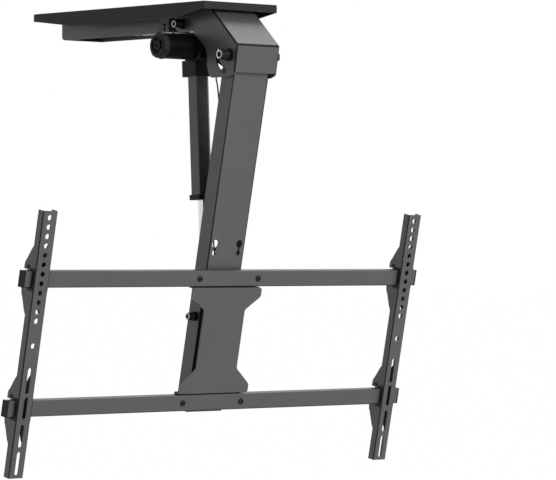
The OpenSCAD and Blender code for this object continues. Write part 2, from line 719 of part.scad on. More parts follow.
module rail(s) difference() {
    block([-tube_half, -rail_front_n, -s - rail_h / 2], [tube_half, -rail_back_n, -s + rail_h / 2]);
    block([-tube_half - 1, -rail_front_n + rail_t, -s - rail_h / 2 + rail_t],
          [tube_half + 1, -rail_back_n - rail_t, -s + rail_h / 2 - rail_t]);
    for (x = [-rail_screw_span / 2, rail_screw_span / 2])
        translate([x, -rail_front_n - 1, -s]) rotate([-90, 0, 0]) cylinder(h = rail_d + 2, d = rail_screw_d);
}

module top_rail() color("#5c5c5c") arm_frame() rail(rail_s[0]);
module bottom_rail() color("#5c5c5c") arm_frame() rail(rail_s[1]);

module rail_end_caps() color("#262626") arm_frame() for (s = rail_s, e = [-1, 1]) {
    block([min(e * tube_half, e * rail_l / 2), -rail_front_n, -s - rail_h / 2],
          [max(e * tube_half, e * rail_l / 2), -rail_back_n, -s + rail_h / 2]);
    block([min(e * tube_half, e * (tube_half - 12)), -rail_front_n + rail_t, -s - rail_h / 2 + rail_t],
          [max(e * tube_half, e * (tube_half - 12)), -rail_back_n - rail_t, -s + rail_h / 2 - rail_t]);
}

module rail_screws() color("#1c1c1c") arm_frame() rail_screw_places() translate([0, -rail_front_n, 0])
    rotate([-90, 0, 0]) {
        cylinder(h = rail_d + iface_t + 7, d = rail_screw_d);
        difference() {
            translate([0, 0, -3]) cylinder(h = 3, d1 = 6.5, d2 = 10.5);
            translate([0, 0, -4]) cylinder(h = 2.6, d = 4.6, $fn = 6);
        }
    }

module rail_nuts() color("#2a2a2a") arm_frame() rail_screw_places() translate([0, -hinge_inset, 0])
    rotate([-90, 0, 0]) difference() {
        union() {
            cylinder(h = 5, d = 10 / cos(30), $fn = 6);
            cylinder(h = 1, d = 13);
        }
        translate([0, 0, -1]) cylinder(h = 8, d = rail_screw_d);
    }

// Lower pivot: a shouldered stud in each arm wall, flush with the wall's inner face

module lower_pivot_studs() color("#1c1c1c") arm_frame() translate([0, -lower_n, -lower_pivot_s]) difference() {
    for (s = [-1, 1]) {
        x_rod(s < 0 ? -arm_half : arm_half - arm_t, s < 0 ? -arm_half + arm_t : arm_half, pivot_bolt_d + 2);
        x_rod(s < 0 ? -arm_half - stud_body_l : arm_half, s < 0 ? -arm_half : arm_half + stud_body_l, stud_body_d);
        x_rod(s < 0 ? -arm_half - stud_body_l - stud_head_l : arm_half + stud_body_l,
              s < 0 ? -arm_half - stud_body_l : arm_half + stud_body_l + stud_head_l, stud_head_d);
    }
    for (s = [-1, 1])
        x_hex(s < 0 ? -arm_half - stud_body_l - stud_head_l - 1 : arm_half + stud_body_l + stud_head_l - 4,
              s < 0 ? -arm_half - stud_body_l - stud_head_l + 4 : arm_half + stud_body_l + stud_head_l + 1, 6);
}

// Infrared receiver and its lead

receiver_s = 586;
module ir_receiver() color("#222222") arm_frame() difference() {
    block([-17, -hinge_inset + arm_t, -receiver_s - 13], [17, -hinge_inset + arm_t + 12, -receiver_s + 13]);
    translate([0, -hinge_inset + arm_t + 6, -receiver_s - 14]) cylinder(h = 5, d = 8);
}

module ir_window() color("#3b1216") arm_frame()
    translate([0, -hinge_inset + arm_t + 6, -receiver_s - 13]) cylinder(h = 4, d = 8);

module lead_lower() color("#161616") arm_frame() sweep(lead_lower_pts, lead_d);

module lead_clips() color("#202020") arm_frame() for (s = [170, 262]) difference() {
    block([-arm_half + arm_t, 0, -s - 4], [-arm_half + arm_t + 7, 11, -s + 4]);
    block([-arm_half + arm_t + 1.2, 1.2, -s - 5], [-arm_half + arm_t + 5.8, 9.8, -s + 5]);
}

// Screen brackets

// One flange with its two wings, as [y, z] points in the arm's frame
module flange_outline() {
    f = -web_front_n;
    narrow = f + bracket_d;
    deep = f + wing_d;
    top = -bracket_top_s;
    polygon(concat(
        [[f, top], [f, top - bracket_l], [narrow, top - bracket_l]],
        [for (s = [rail_s[1], rail_s[0]]) each [
            [narrow, -s - 58], [narrow + 4, -s - 52], [deep - 4.5, -s - 32], [deep - 1, -s - 26], [deep, -s - 20],
            [deep, -s + 20], [deep - 1, -s + 26], [deep - 4.5, -s + 31],
            [narrow + 4, -s + 48], [narrow, -s + 54]
        ]],
        [[narrow, top]]
    ));
}

module screen_bracket(x) translate([x, 0, 0]) difference() {
    union() {
        for (e = [-bracket_half, bracket_half - bracket_t]) side_sheet(e, bracket_t) flange_outline();
        block([-bracket_half, -web_front_n, -bracket_top_s - bracket_l],
              [bracket_half, -web_front_n + bracket_t, -bracket_top_s]);
    }
    // Notches for the rails, cross pins and lock screws
    for (s = rail_s) {
        block([-bracket_half - 1, -rail_front_n - notch_gap, -s - rail_h / 2 - notch_over],
              [bracket_half + 1, -web_front_n + wing_d + 1, -s + rail_h / 2 + notch_over]);
        block([-bracket_half - 1, -rail_front_n - notch_gap, -s - rail_h / 2 - relief_h],
              [bracket_half + 1, -rail_front_n + relief_l, -s + rail_h / 2 + relief_h]);
        translate([0, -rail_back_n, -s + rail_h / 2 + pin_above]) x_rod(-bracket_half - 1, bracket_half + 1, pin_d);
    }
    // Round holes, the last one the lower end of the 200 pattern, then four slots
    for (k = [0 : 11]) translate([0, -web_front_n - 1, -bracket_top_s - 10.9 - k * bracket_hole_pitch])
        rotate([-90, 0, 0]) cylinder(h = bracket_t + 2, d = bracket_hole_d);
    translate([0, -web_front_n - 1, -bracket_top_s - 218.5]) rotate([-90, 0, 0])
        cylinder(h = bracket_t + 2, d = bracket_hole_d);
    for (q = [[275.6, 42.4], [320, 36], [365.4, 38]])
        translate([0, -web_front_n + bracket_t, -bracket_top_s - q[0]]) web_slot(bracket_slot_w, q[1], bracket_t);
    translate([0, -web_front_n + bracket_t, -bracket_top_s - 10.9 - vesa_h])
        web_slot(bracket_slot_w, 38, bracket_t);
}

// Retainers: a plate behind each rail, hung on the cross pin by a barrel that rests on the rail
lock_d = 5;
lock_below = 6; // the lock screw's middle above the rail's lower edge
retainer_t = 3;
module bracket_retainers(x) translate([x, 0, 0]) for (s = rail_s) difference() {
    union() {
        block([-bracket_half + bracket_t + gap, -rail_back_n + gap, -s - rail_h / 2 - 4],
              [bracket_half - bracket_t - gap, -rail_back_n + gap + retainer_t, -s + rail_h / 2 + pin_above]);
        translate([0, -rail_back_n, -s + rail_h / 2 + pin_above])
            x_rod(-bracket_half + bracket_t + gap, bracket_half - bracket_t - gap, 2 * (pin_above - gap));
    }
    translate([0, -rail_back_n, -s + rail_h / 2 + pin_above]) x_rod(-bracket_half, bracket_half, pin_d);
    translate([0, -rail_back_n - 1, -s - rail_h / 2 + lock_below]) rotate([-90, 0, 0])
        cylinder(h = retainer_t + 3, d = lock_d);
}

module bracket_cross_pins(x) translate([x, 0, 0]) for (s = rail_s)
    translate([0, -rail_back_n, -s + rail_h / 2 + pin_above]) {
        x_rod(-bracket_half - 0.8, bracket_half + 0.8, pin_d);
        for (e = [-1, 1]) x_rod(e < 0 ? -bracket_half - 1.4 : bracket_half, e < 0 ? -bracket_half : bracket_half + 1.4,
                                pin_d + 2);
    }

// Lock screws: bear on the back of each rail through the retainer
module bracket_lock_screws(x) translate([x, 0, 0]) for (s = rail_s)
    translate([0, -rail_back_n + gap, -s - rail_h / 2 + lock_below]) rotate([-90, 0, 0]) difference() {
        union() {
            cylinder(h = retainer_t + 1, d = lock_d);
            translate([0, 0, retainer_t]) cylinder(h = 4, d = 9);
        }
        translate([0, 0, retainer_t + 1.5]) cylinder(h = 3, d = 4.6, $fn = 6);
    }

module left_bracket() color("#646464") arm_frame() screen_bracket(-vesa_w / 2);
module right_bracket() color("#646464") arm_frame() screen_bracket(vesa_w / 2);
module left_retainers() color("#303030") arm_frame() bracket_retainers(-vesa_w / 2);
module right_retainers() color("#303030") arm_frame() bracket_retainers(vesa_w / 2);
module left_cross_pins() color("#202020") arm_frame() bracket_cross_pins(-vesa_w / 2);
module right_cross_pins() color("#202020") arm_frame() bracket_cross_pins(vesa_w / 2);
module left_lock_screws() color("#202020") arm_frame() bracket_lock_screws(-vesa_w / 2);
module right_lock_screws() color("#202020") arm_frame() bracket_lock_screws(vesa_w / 2);

// Actuator, in its own frame: x across, y backwards, z upwards from the pivot

module rear_clevis() color("#b4b6b8") act_frame() difference() {
    union() {
        x_rod(-eye_l / 2, eye_l / 2, 2 * eye_r);
        block([-eye_l / 2, -eye_r + 2, -house_top_a], [eye_l / 2, eye_r - 2, 0]);
    }
    x_rod(-eye_l / 2 - 1, eye_l / 2 + 1, pivot_bolt_d + 2 * fit);
}

module gear_housing() color("#1d1d1d") act_frame() difference() {
    union() {
        block([-house_half, -house_front, -house_end_a], [house_half, house_back, -house_top_a]);
        translate([0, -motor_ahead, -motor_a]) x_rod(-house_half - neck_l, -house_half, 2 * neck_r);
    }
    // Room for the worm wheel, its bearing and the worm
    translate([0, 0, -house_end_a - 1]) cylinder(h = house_end_a - house_top_a - 7, d = 2 * (wheel_r + 1.5));
    translate([0, -motor_ahead, -motor_a]) x_rod(-house_half - neck_l - 1, house_half - 4, 2 * (worm_r + 1));
    for (x = [-house_half + 4, house_half - 4], y = [-house_front + 4, house_back - 4])
        translate([x, y, -house_end_a - 1]) cylinder(h = 12, d = 4);
}

module gear_housing_screws() color("#6a6c6e") act_frame()
    for (x = [-house_half + 4, house_half - 4], y = [-house_front + 4]) translate([x, y, -house_end_a - 3]) {
        cylinder(h = 12, d = 4);
        cylinder(h = 3, d = 6.5);
    }

module collar() color("#3c3c3c") act_frame() difference() {
    block([-house_half, -tube_d / 2 - 0.5, -collar_end_a], [house_half, collar_back, -house_end_a]);
    translate([0, 0, -collar_end_a - 1]) linear_extrude(height = 18) tube_outline(0);
    translate([0, 0, -collar_end_a]) cylinder(h = 40, d = screw_d + 2);
    block([-house_half + wall, tube_d / 2 + 1.5, -collar_end_a + 3],
          [house_half - wall, collar_back - wall, -house_end_a + 1]);
}

// Section of the outer tube, drawn in by inset, with a broad chamfer on its right corners
module tube_outline(inset) {
    x = tube_w / 2 - inset;
    y = tube_d / 2 - inset;
    c = 7 - 0.6 * inset;
    polygon([
        [-x, -y + 1], [-x + 1, -y], [x - c, -y], [x, -y + c * 0.7],
        [x, y - c * 0.7], [x - c, y], [-x + 1, y], [-x, y - 1]
    ]);
}

module actuator_tube() color("#474747") act_frame() translate([0, 0, -tube_end_a])
    linear_extrude(height = tube_end_a - collar_end_a + 16) difference() {
        tube_outline(0);
        tube_outline(wall);
    }

module tube_end_cap() color("#232323") act_frame() difference() {
    union() {
        block([-tube_w / 2 - end_cap_over, -tube_d / 2 - 0.6, -tube_end_a - end_cap_l],
              [tube_w / 2 + end_cap_over, tube_d / 2 + end_cap_over, -tube_end_a]);
        translate([0, 0, -tube_end_a]) linear_extrude(height = 4) tube_outline(wall);
    }
    translate([0, 0, -tube_end_a - end_cap_l - 1]) cylinder(h = end_cap_l + 20, d = rod_d + 2 * fit);
    translate([0, 0, -tube_end_a - end_cap_l + 1]) cylinder(h = 4, d = rod_d + 4);
}

module rod_seal() color("#151515") act_frame() translate([0, 0, -tube_end_a - end_cap_l + 1]) difference() {
    cylinder(h = 4, d = rod_d + 4);
    translate([0, 0, -1]) cylinder(h = 6, d = rod_d + 2 * fit);
}

module screw_bearing() color("#b9bbbd") act_frame() translate([0, 0, -house_end_a + 1]) difference() {
    cylinder(h = 8, d = 2 * (wheel_r + 1.5));
    translate([0, 0, -1]) cylinder(h = 10, d = screw_d + 2 * fit);
}

module limit_switches() color("#44484c") act_frame()
    for (z = [-house_end_a - 12, -collar_end_a + 4])
        block([-10, tube_d / 2 + 1.5 + gap, z], [10, collar_back - wall - gap, z + 8]);

module motor_frame() act_frame() translate([-house_half - neck_l, -motor_ahead, -motor_a]) children();

module motor_can() color("#0f0f0f") motor_frame() difference() {
    x_rod(-motor_can_l, 0, motor_d);
    x_rod(-motor_can_l - 1, -2.5, motor_d - 4);
    x_rod(-3, 1, 12);
}

module motor_end_cap() color("#1a1a1a") motor_frame() translate([-motor_can_l, 0, 0]) rotate([0, -90, 0]) difference() {
    rotate_extrude() polygon([
        [0, 0], [motor_d / 2, 0], [motor_d / 2, motor_cap_l - 3], [motor_d / 2 - 3, motor_cap_l],
        [motor_d / 2 - 6, motor_cap_l], [motor_d / 2 - 6, motor_cap_l - 2.5], [7.5, motor_cap_l - 2.5],
        [7.5, motor_cap_l - 0.5], [0, motor_cap_l - 0.5]
    ]);
    translate([0, 0, -1]) cylinder(h = motor_cap_l - 3, d = 6);
    translate([0, 0, -1]) rotate_extrude() translate([motor_d / 2 - 7, 0]) square([4, motor_cap_l - 5]);
}

module motor_magnets() color("#5a5a5e") motor_frame() for (s = [-1, 1]) intersection() {
    difference() {
        x_rod(-motor_can_l + 6, -8, motor_d - 4);
        x_rod(-motor_can_l + 5, -7, motor_d - 12);
    }
    block([-motor_can_l, s < 0 ? -motor_d : 4, -motor_d], [0, s < 0 ? -4 : motor_d, motor_d]);
}

module motor_armature() color("#9a6a3c") motor_frame() {
    x_rod(-motor_can_l - 6, neck_l + house_half + 8, 5.9);
    x_rod(-motor_can_l + 12, -14, motor_d - 16);
    x_rod(-motor_can_l + 4, -motor_can_l + 11, 14);
    x_rod(neck_l + house_half - 9, neck_l + house_half + 9, 2 * worm_r);
}

// Rod and its drive

module piston_rod() color("#d6d8da") act_frame() difference() {
    translate([0, 0, -act_len + rod_end_r - 1]) cylinder(h = act_len - rod_end_r + 1 - rod_top_a - nut_l, d = rod_d);
    translate([0, 0, -act_len + rod_end_r + 20]) cylinder(h = act_len, d = screw_d + 1);
    translate([0, 0, -act_len]) x_rod(-rod_eye_l, rod_eye_l, 2 * rod_end_r);
}

module drive_nut() color("#c9b36a") act_frame() translate([0, 0, -rod_top_a - nut_l]) difference() {
    cylinder(h = nut_l, d = tube_d - 2 * wall - 0.6);
    translate([0, 0, -1]) cylinder(h = nut_l + 2, d = screw_d + 2 * fit);
}

// Rod end: an eye on the rod with a cross barrel that fits between the arm walls
module rod_end() color("#aeb0b2") translate([0, lower_y, lower_z]) rotate([act_lean, 0, 0]) {
    x_rod(-act_left - rod_eye_l / 2, -act_left + rod_eye_l / 2, 2 * rod_end_r);
    x_rod(-arm_half + arm_t + gap, arm_half - arm_t - gap, 2 * cross_r);
}

module lead_screw() color("#c2c4c6") act_frame() translate([0, 0, -screw_end_a])
    cylinder(h = screw_end_a - motor_a + wheel_t / 2 + 2, d = screw_d);

module worm_wheel() color("#d9cfa2") act_frame() translate([0, 0, -motor_a - wheel_t / 2]) difference() {
    cylinder(h = wheel_t, r = wheel_r);
    translate([0, 0, -1]) cylinder(h = wheel_t + 2, d = screw_d);
}

ceiling_plate();
head_bracket();
rear_channel();
bracket_screws();
hinge_bolt();
hinge_nut();
hinge_washers();
actuator_bolt();
actuator_nut();
pivot_sleeves();
control_box();
control_box_lid();
control_box_ends();
control_box_screws();
circuit_board();
board_parts();
dc_inlet();
lead_upper();
arm_channel();
hinge_bushes();
stop_pins();
interface_plate();
top_rail();
bottom_rail();
rail_end_caps();
rail_screws();
rail_nuts();
lower_pivot_studs();
lead_lower();
lead_clips();
ir_receiver();
ir_window();
left_bracket();
left_retainers();
left_cross_pins();
left_lock_screws();
right_bracket();
right_retainers();
right_cross_pins();
right_lock_screws();
gear_housing();
gear_housing_screws();
rear_clevis();
collar();
actuator_tube();
tube_end_cap();
rod_seal();
screw_bearing();
limit_switches();
motor_can();
motor_end_cap();
motor_magnets();
motor_armature();
piston_rod();
drive_nut();
rod_end();
lead_screw();
worm_wheel();
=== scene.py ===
"""Motorised flip-down ceiling mount for a television, dressed from its CAD frame."""
import json
import math

import bmesh
import bpy
from bpy.props import FloatProperty, IntProperty, PointerProperty, StringProperty
from mathutils import Matrix, Vector


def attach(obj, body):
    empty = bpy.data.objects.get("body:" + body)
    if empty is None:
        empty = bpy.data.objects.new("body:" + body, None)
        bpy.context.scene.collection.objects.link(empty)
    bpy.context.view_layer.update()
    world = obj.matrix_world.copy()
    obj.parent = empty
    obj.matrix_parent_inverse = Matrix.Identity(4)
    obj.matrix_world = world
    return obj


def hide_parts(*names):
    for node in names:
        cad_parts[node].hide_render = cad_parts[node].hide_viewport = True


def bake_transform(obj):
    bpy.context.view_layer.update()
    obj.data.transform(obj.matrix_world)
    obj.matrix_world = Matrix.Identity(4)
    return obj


bl_info = {
    "name": "Motorised ceiling mount",
    "version": (1, 0, 0),
    "blender": (4, 5, 0),
    "location": "3D View > Sidebar > Mount",
    "description": "Dresses the ceiling mount's CAD frame with rounded sheets and finishes",
    "category": "Object",
}

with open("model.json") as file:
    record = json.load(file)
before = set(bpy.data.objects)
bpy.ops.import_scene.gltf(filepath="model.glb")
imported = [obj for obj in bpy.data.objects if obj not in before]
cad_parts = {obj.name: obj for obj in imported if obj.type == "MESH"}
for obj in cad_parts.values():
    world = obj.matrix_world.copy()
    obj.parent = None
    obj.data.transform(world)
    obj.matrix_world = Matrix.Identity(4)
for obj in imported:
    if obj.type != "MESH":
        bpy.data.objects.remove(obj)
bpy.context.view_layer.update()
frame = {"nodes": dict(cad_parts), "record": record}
NODES = frame["nodes"]
MM = 0.001

# The hinge, the actuator's upper pivot and how the arm and actuator lean, in mm and degrees
HINGE = (0.0, -248.0, -88.5)
PIVOT = (0.0, -131.5, -33.0)
ARM_LEAN = 12.0
ACT_LEAN = -2.67775
ACT_LEFT = 14.0
# The lower studs: down the arm from the hinge, and out to its front
LOWER_S, LOWER_N = 439.5, -2.5
# The cross rails: down the arm, and how far out their front face stands
RAILS_S = (370.0, 580.7)
RAIL_FRONT = 25.6
# The screen brackets' distance from the middle, and half the width over the head's cheeks
BRACKET_X = 400.0
CHEEK_X = 46.75
# Where the motor is bolted on, in the actuator's frame, and the radius of its can
MOTOR_FOOT = (-27.0, -16.0, -39.6)
MOTOR_R = 21.0
# Facets round a bolt, which the knurl presses in by turns, and round each bend of a sheet
BOLT_STEPS = 48
BEND_STEPS = 4
# How closely vertices are taken to be one, in mm
SAME = 0.001
# The camera fitted to the photograph: picture width, focal length and rise in pixels
PICTURE_W, FOCAL, RISE = 556, 3579.8, 18.84
SENSOR_W = 36.0
CAMERA_AT = (-3.9076, -4.6567, -0.4227)
CAMERA_TURN = -42
WHITE = (1, 1, 1, 1)


def place(x, y, z, lean):
    """A frame whose origin is at x, y, z mm and which leans about X."""
    return Matrix.Translation(Vector((x, y, z)) * MM) @ Matrix.Rotation(math.radians(lean), 4, "X")


ARM = place(*HINGE, ARM_LEAN)
ACT = place(-ACT_LEFT, PIVOT[1], PIVOT[2], ACT_LEAN)


# Colours and materials

def linear(code):
    """A linear colour with alpha from an sRGB hex code."""
    parts = [int(code[i : i + 2], 16) / 255 for i in (1, 3, 5)]
    rgb = [c / 12.92 if c <= 0.04045 else ((c + 0.055) / 1.055) ** 2.4 for c in parts]
    return (*rgb, 1.0)


def shade(code, factor):
    """The same sRGB colour, lighter or darker by a factor on its linear value."""
    r, g, b, a = linear(code)
    return (min(r * factor, 1), min(g * factor, 1), min(b * factor, 1), a)


def add(tree, kind, links=None, **settings):
    """Adds a node. links feeds its inputs, sockets sets them, and other settings are properties."""
    node = tree.nodes.new(kind)
    for key, value in settings.items():
        if key == "sockets":
            for name, v in value.items():
                node.inputs[name].default_value = v
        else:
            setattr(node, key, value)
    for socket, source in (links or {}).items():
        tree.links.new(source, node.inputs[socket])
    return node


def blank(name):
    """An empty node material and its tree."""
    mat = bpy.data.materials.new(name)
    mat.use_nodes = True
    mat.node_tree.nodes.clear()
    return mat, mat.node_tree


def finish_surface(name, code, rough, grain_mm, bump_mm, metallic=0.0, specular=0.5, coat=0.0,
                   brushed=None, vary=0.08):
    """A surface with a fine bump of the given grain, a broad mottle in colour and a varied
    roughness. brushed stretches the grain along an axis."""
    mottle = 0.08
    mat, tree = blank(name)
    coords = add(tree, "ShaderNodeTexCoord")
    mapping = add(tree, "ShaderNodeMapping", {"Vector": coords.outputs["Object"]})
    if brushed:
        mapping.inputs["Scale"].default_value = brushed
    grain = add(tree, "ShaderNodeTexNoise", {"Vector": mapping.outputs[0]},
                sockets={"Scale": 1 / (grain_mm * MM), "Detail": 3.0, "Roughness": 0.55})
    broad = add(tree, "ShaderNodeTexNoise", {"Vector": coords.outputs["Object"]},
                sockets={"Scale": 14.0, "Detail": 4.0, "Roughness": 0.6})
    fleck = add(tree, "ShaderNodeTexVoronoi", {"Vector": mapping.outputs[0]},
                sockets={"Scale": 0.55 / (grain_mm * MM), "Randomness": 1.0})
    both = add(tree, "ShaderNodeMath", {0: broad.outputs[0], 1: grain.outputs[0]},
               operation="ADD")
    level = add(tree, "ShaderNodeMapRange", {"Value": both.outputs[0]},
                sockets={"From Min": 0.6, "From Max": 1.4, "To Min": 0.0, "To Max": 1.0})
    colour = add(tree, "ShaderNodeMix", {0: level.outputs[0]}, data_type="RGBA")
    colour.inputs[6].default_value = shade(code, 1 - mottle)
    colour.inputs[7].default_value = shade(code, 1 + mottle)
    roughness = add(tree, "ShaderNodeMapRange", {"Value": grain.outputs[0]},
                    sockets={"From Min": 0.3, "From Max": 0.7,
                             "To Min": rough - vary, "To Max": rough + vary})
    height = add(tree, "ShaderNodeMath", {0: grain.outputs[0], 1: fleck.outputs[0]},
                 operation="ADD")
    bump = add(tree, "ShaderNodeBump", {"Height": height.outputs[0]},
               sockets={"Strength": 0.35, "Distance": bump_mm * MM})
    shader = add(tree, "ShaderNodeBsdfPrincipled",
                 {"Base Color": colour.outputs[2], "Roughness": roughness.outputs[0],
                  "Normal": bump.outputs[0]},
                 sockets={"Metallic": metallic, "Specular IOR Level": specular,
                          "Coat Weight": coat})
    add(tree, "ShaderNodeOutputMaterial", {"Surface": shader.outputs[0]})
    return mat


MATERIALS = {}


def make_materials(colours):
    """Makes every finish on the mount, by the slot it serves."""

    def finish(slot, *looks, **more):
        MATERIALS[slot] = finish_surface(*looks, **more)

    powder = dict(grain_mm=1.1, bump_mm=0.06)
    # Powder-coated sheet steel: a fine satin texture that scatters a soft, even sheen
    finish("plate_paint", "powder_coat_plate", colours.plate, 0.5, specular=0.2, **powder)
    finish("frame_paint", "powder_coat_frame", colours.frame, 0.36, specular=0.5, **powder)
    # The same coats, darker along each bend: painted shade where a bend turns from the light
    finish("plate_bend_shade", "powder_coat_plate_painted_bend_shade", "#0e0e0e", 0.5, specular=0.15, **powder)
    finish("frame_bend_shade", "powder_coat_frame_painted_bend_shade", "#141414", 0.5, specular=0.15, **powder)
    # Inside a folded channel, a dull dark coat: painted shade on the inner faces that meet in a
    # hollow
    finish("frame_hollow_shade", "powder_coat_painted_hollow_shade", "#191919", 0.6, specular=0.1, **powder)
    # Black-oxide steel: thin dark film over machined metal, so highlights stay tight
    finish("black_steel", "black_oxide_steel", colours.fastener, 0.32, 0.5, 0.02, specular=0.25)
    # Zinc-plated steel: pale, slightly streaked metal
    finish("bare_steel", "zinc_plated_steel", "#b9bcbf", 0.34, 0.8, 0.02, metallic=1.0,
           brushed=(1, 1, 6), vary=0.06)
    # The rim of a screw head: pale bare steel, a painted highlight round the head's chamfer that
    # flashes in the light
    finish("rim_highlight", "painted_rim_highlight", "#c9cacb", 0.42, 0.4, 0.01, metallic=0.6)
    # Moulded ABS and nylon: an even spark-eroded grain
    finish("grey_plastic", "moulded_abs_grey", colours.box, 0.5, 0.7, 0.04, specular=0.4)
    finish("black_plastic", "moulded_nylon_black", colours.plastic, 0.5, 0.7, 0.04, specular=0.15)
    # Moulded epoxy round the board's components
    finish("component_plastic", "moulded_epoxy", "#2c2f33", 0.45, 0.6, 0.02)
    # Glass-epoxy laminate with a solder mask: green and softly glossy
    finish("board_laminate", "solder_masked_laminate", "#1f5a31", 0.3, 0.9, 0.02, coat=0.3)
    # PVC lead jacket: smooth and faintly glossy
    finish("lead_jacket", "pvc_lead_jacket", "#060606", 0.42, 0.6, 0.02, specular=0.2)
    # Sintered bronze: dull yellow metal with open pores
    finish("bronze", "sintered_bronze", "#9c7a3e", 0.5, 0.35, 0.03, metallic=1.0)
    # Infrared window: dark red polished acrylic
    finish("red_window", "infrared_acrylic", "#2a0508", 0.1, 2.0, 0.005, coat=0.6, vary=0.03)
    # Painted die casting: a slightly orange-peeled black enamel
    finish("housing_alloy", "enamelled_die_casting", colours.motor, 0.5, 1.6, 0.08, specular=0.12)
    # Anodised aluminium extrusion: fine die lines along its length
    finish("tube_finish", "anodised_extrusion", colours.tube, 0.38, 0.5, 0.02, specular=0.5,
           brushed=(1, 1, 0.04))
    # Nitrile rubber: matt black
    finish("seal_rubber", "nitrile_seal", "#0c0c0c", 0.6, 0.6, 0.02, specular=0.3)
    # Drawn steel can under a dull black enamel
    finish("motor_paint", "enamelled_motor_can", colours.motor, 0.55, 1.4, 0.03, specular=0.06)
    # Sintered ferrite and enamelled copper wire, inside the motor
    finish("magnet", "sintered_ferrite", "#3a3a3d", 0.6, 0.4, 0.02)
    finish("copper_winding", "enamelled_copper", "#a5562a", 0.35, 0.6, 0.05, metallic=1.0)
    # Hard-chromed rod: near mirror, with a faint grind across it
    finish("polished_rod", "hard_chrome", "#cfd2d4", 0.14, 0.4, 0.004, metallic=1.0,
           brushed=(1, 1, 8), vary=0.04)
    # Acetal, unpigmented: a waxy cream plastic
    finish("nut_plastic", "acetal_natural", "#cdbf93", 0.4, 0.8, 0.01)
    finish("wheel_plastic", "acetal_wheel", "#d8d0b2", 0.4, 0.8, 0.01)
    # The inside of a screw's socket, darker than the head: painted shade in the recess
    finish("socket_shade", "painted_socket_shade", "#060606", 0.5, 0.6, 0.01, specular=0.2)


# Mesh helpers

def verts_of(geom):
    """The vertices in what a bmesh operator returns."""
    return [v for v in geom if isinstance(v, bmesh.types.BMVert)]


def new_piece(name, bm, body, slot, replaced=(), materials=(), transform=None, bevel=0.0,
              segments=2):
    """Turns a bmesh into a piece that rides on a body, stands for CAD nodes and has its finish."""
    if transform is not None:
        bm.transform(transform)
    mesh = bpy.data.meshes.new(name)
    bm.to_mesh(mesh)
    bm.free()
    for polygon in mesh.polygons:
        polygon.use_smooth = True
    piece = bpy.data.objects.new(name, mesh)
    bpy.context.scene.collection.objects.link(piece)
    for mat in (slot, *materials):
        mesh.materials.append(MATERIALS[mat])
    if bevel:
        mod = piece.modifiers.new("edge", "BEVEL")
        mod.width = bevel * MM
        mod.segments = segments
        mod.limit_method = "ANGLE"
        mod.angle_limit = math.radians(30)
        mod.use_clamp_overlap = False
        mod.miter_outer = "MITER_ARC"
    even = piece.modifiers.new("even", "WEIGHTED_NORMAL")
    even.keep_sharp = True
    even.weight = 60
    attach(piece, body)
    if replaced:
        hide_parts(*replaced)
    return piece


def absorb(bm, part, transform):
    """Moves a smaller bmesh into place in a larger one, and frees it."""
    part.transform(transform)
    mesh = bpy.data.meshes.new("part")
    part.to_mesh(mesh)
    part.free()
    bm.from_mesh(mesh)
    bpy.data.meshes.remove(mesh)


def add_block(bm, size, at, turn=0.0):
    """Adds a block of the given size at a point, both in mm, turned about Z by degrees."""
    made = bmesh.ops.create_cube(bm, size=1.0)["verts"]
    bmesh.ops.scale(bm, verts=made, vec=Vector(size) * MM)
    if turn:
        bmesh.ops.rotate(bm, verts=made, matrix=Matrix.Rotation(math.radians(turn), 3, "Z"))
    bmesh.ops.translate(bm, verts=made, vec=Vector(at) * MM)


def fold(edge):
    """The angle at an edge: above zero where two faces stick out, below zero in a hollow."""
    return edge.calc_face_angle_signed(0.0) if len(edge.link_faces) == 2 else 0.0


def flat_regions(bm):
    """Numbers the flat regions of a mesh in a face layer, and says how broad each is: twice its
    area over the length of its outline, which is the sheet's thickness where it is cut."""
    layer = bm.faces.layers.int.new("region")
    for face in bm.faces:
        face[layer] = -1
    breadth = []
    for seed in bm.faces:
        if seed[layer] >= 0:
            continue
        seed[layer] = len(breadth)
        stack, area, outline = [seed], 0.0, 0.0
        while stack:
            face = stack.pop()
            area += face.calc_area()
            for edge in face.edges:
                if len(edge.link_faces) != 2 or abs(fold(edge)) > math.radians(1):
                    outline += edge.calc_length()
                    continue
                for other in edge.link_faces:
                    if other[layer] < 0:
                        other[layer] = len(breadth)
                        stack.append(other)
        breadth.append(2 * area / max(outline, 1e-9))
    return layer, breadth


def bend_edges(bm, layer, breadth, least):
    """Convex edges between two broad regions, by pair of regions: where a sheet is bent."""
    sharp, shortest = math.radians(25), 8 * MM
    found = {}
    for edge in bm.edges:
        if fold(edge) < sharp:
            continue
        pair = tuple(sorted(face[layer] for face in edge.link_faces))
        if min(breadth[number] for number in pair) > least * MM:
            found.setdefault(pair, []).append(edge)
    return {pair: edges for pair, edges in found.items()
            if sum(e.calc_length() for e in edges) > shortest}


def hollow_regions(bm, layer, breadth, least):
    """Broad regions that meet another in a hollow: the inner faces of a folded channel."""
    steep = math.radians(-60)
    return {face[layer] for e in bm.edges if fold(e) < steep
            and min(breadth[f[layer]] for f in e.link_faces) > least * MM for face in e.link_faces}


def clear_strip(bm, layer, number, edge, width):
    """Cuts a clean strip along one side of a bend, so that rounding it meets no stray edges."""
    slack = 0.01 * MM
    face = next(f for f in edge.link_faces if f[layer] == number)
    loop = next(corner for corner in face.loops if corner.edge == edge)
    start = loop.vert.co.copy()
    away = face.normal.cross(loop.link_loop_next.vert.co - start).normalized()
    faces = [f for f in bm.faces if f[layer] == number]
    geom = faces + list({e for f in faces for e in f.edges})
    geom += list({v for f in faces for v in f.verts})
    bmesh.ops.bisect_plane(bm, geom=geom, dist=1e-7, plane_co=start + away * width, plane_no=away)
    strip = [f for f in bm.faces if f[layer] == number
             and all(-slack < (v.co - start).dot(away) < width + slack for v in f.verts)]
    if len(strip) > 1:
        bmesh.ops.dissolve_faces(bm, faces=strip, use_verts=True)


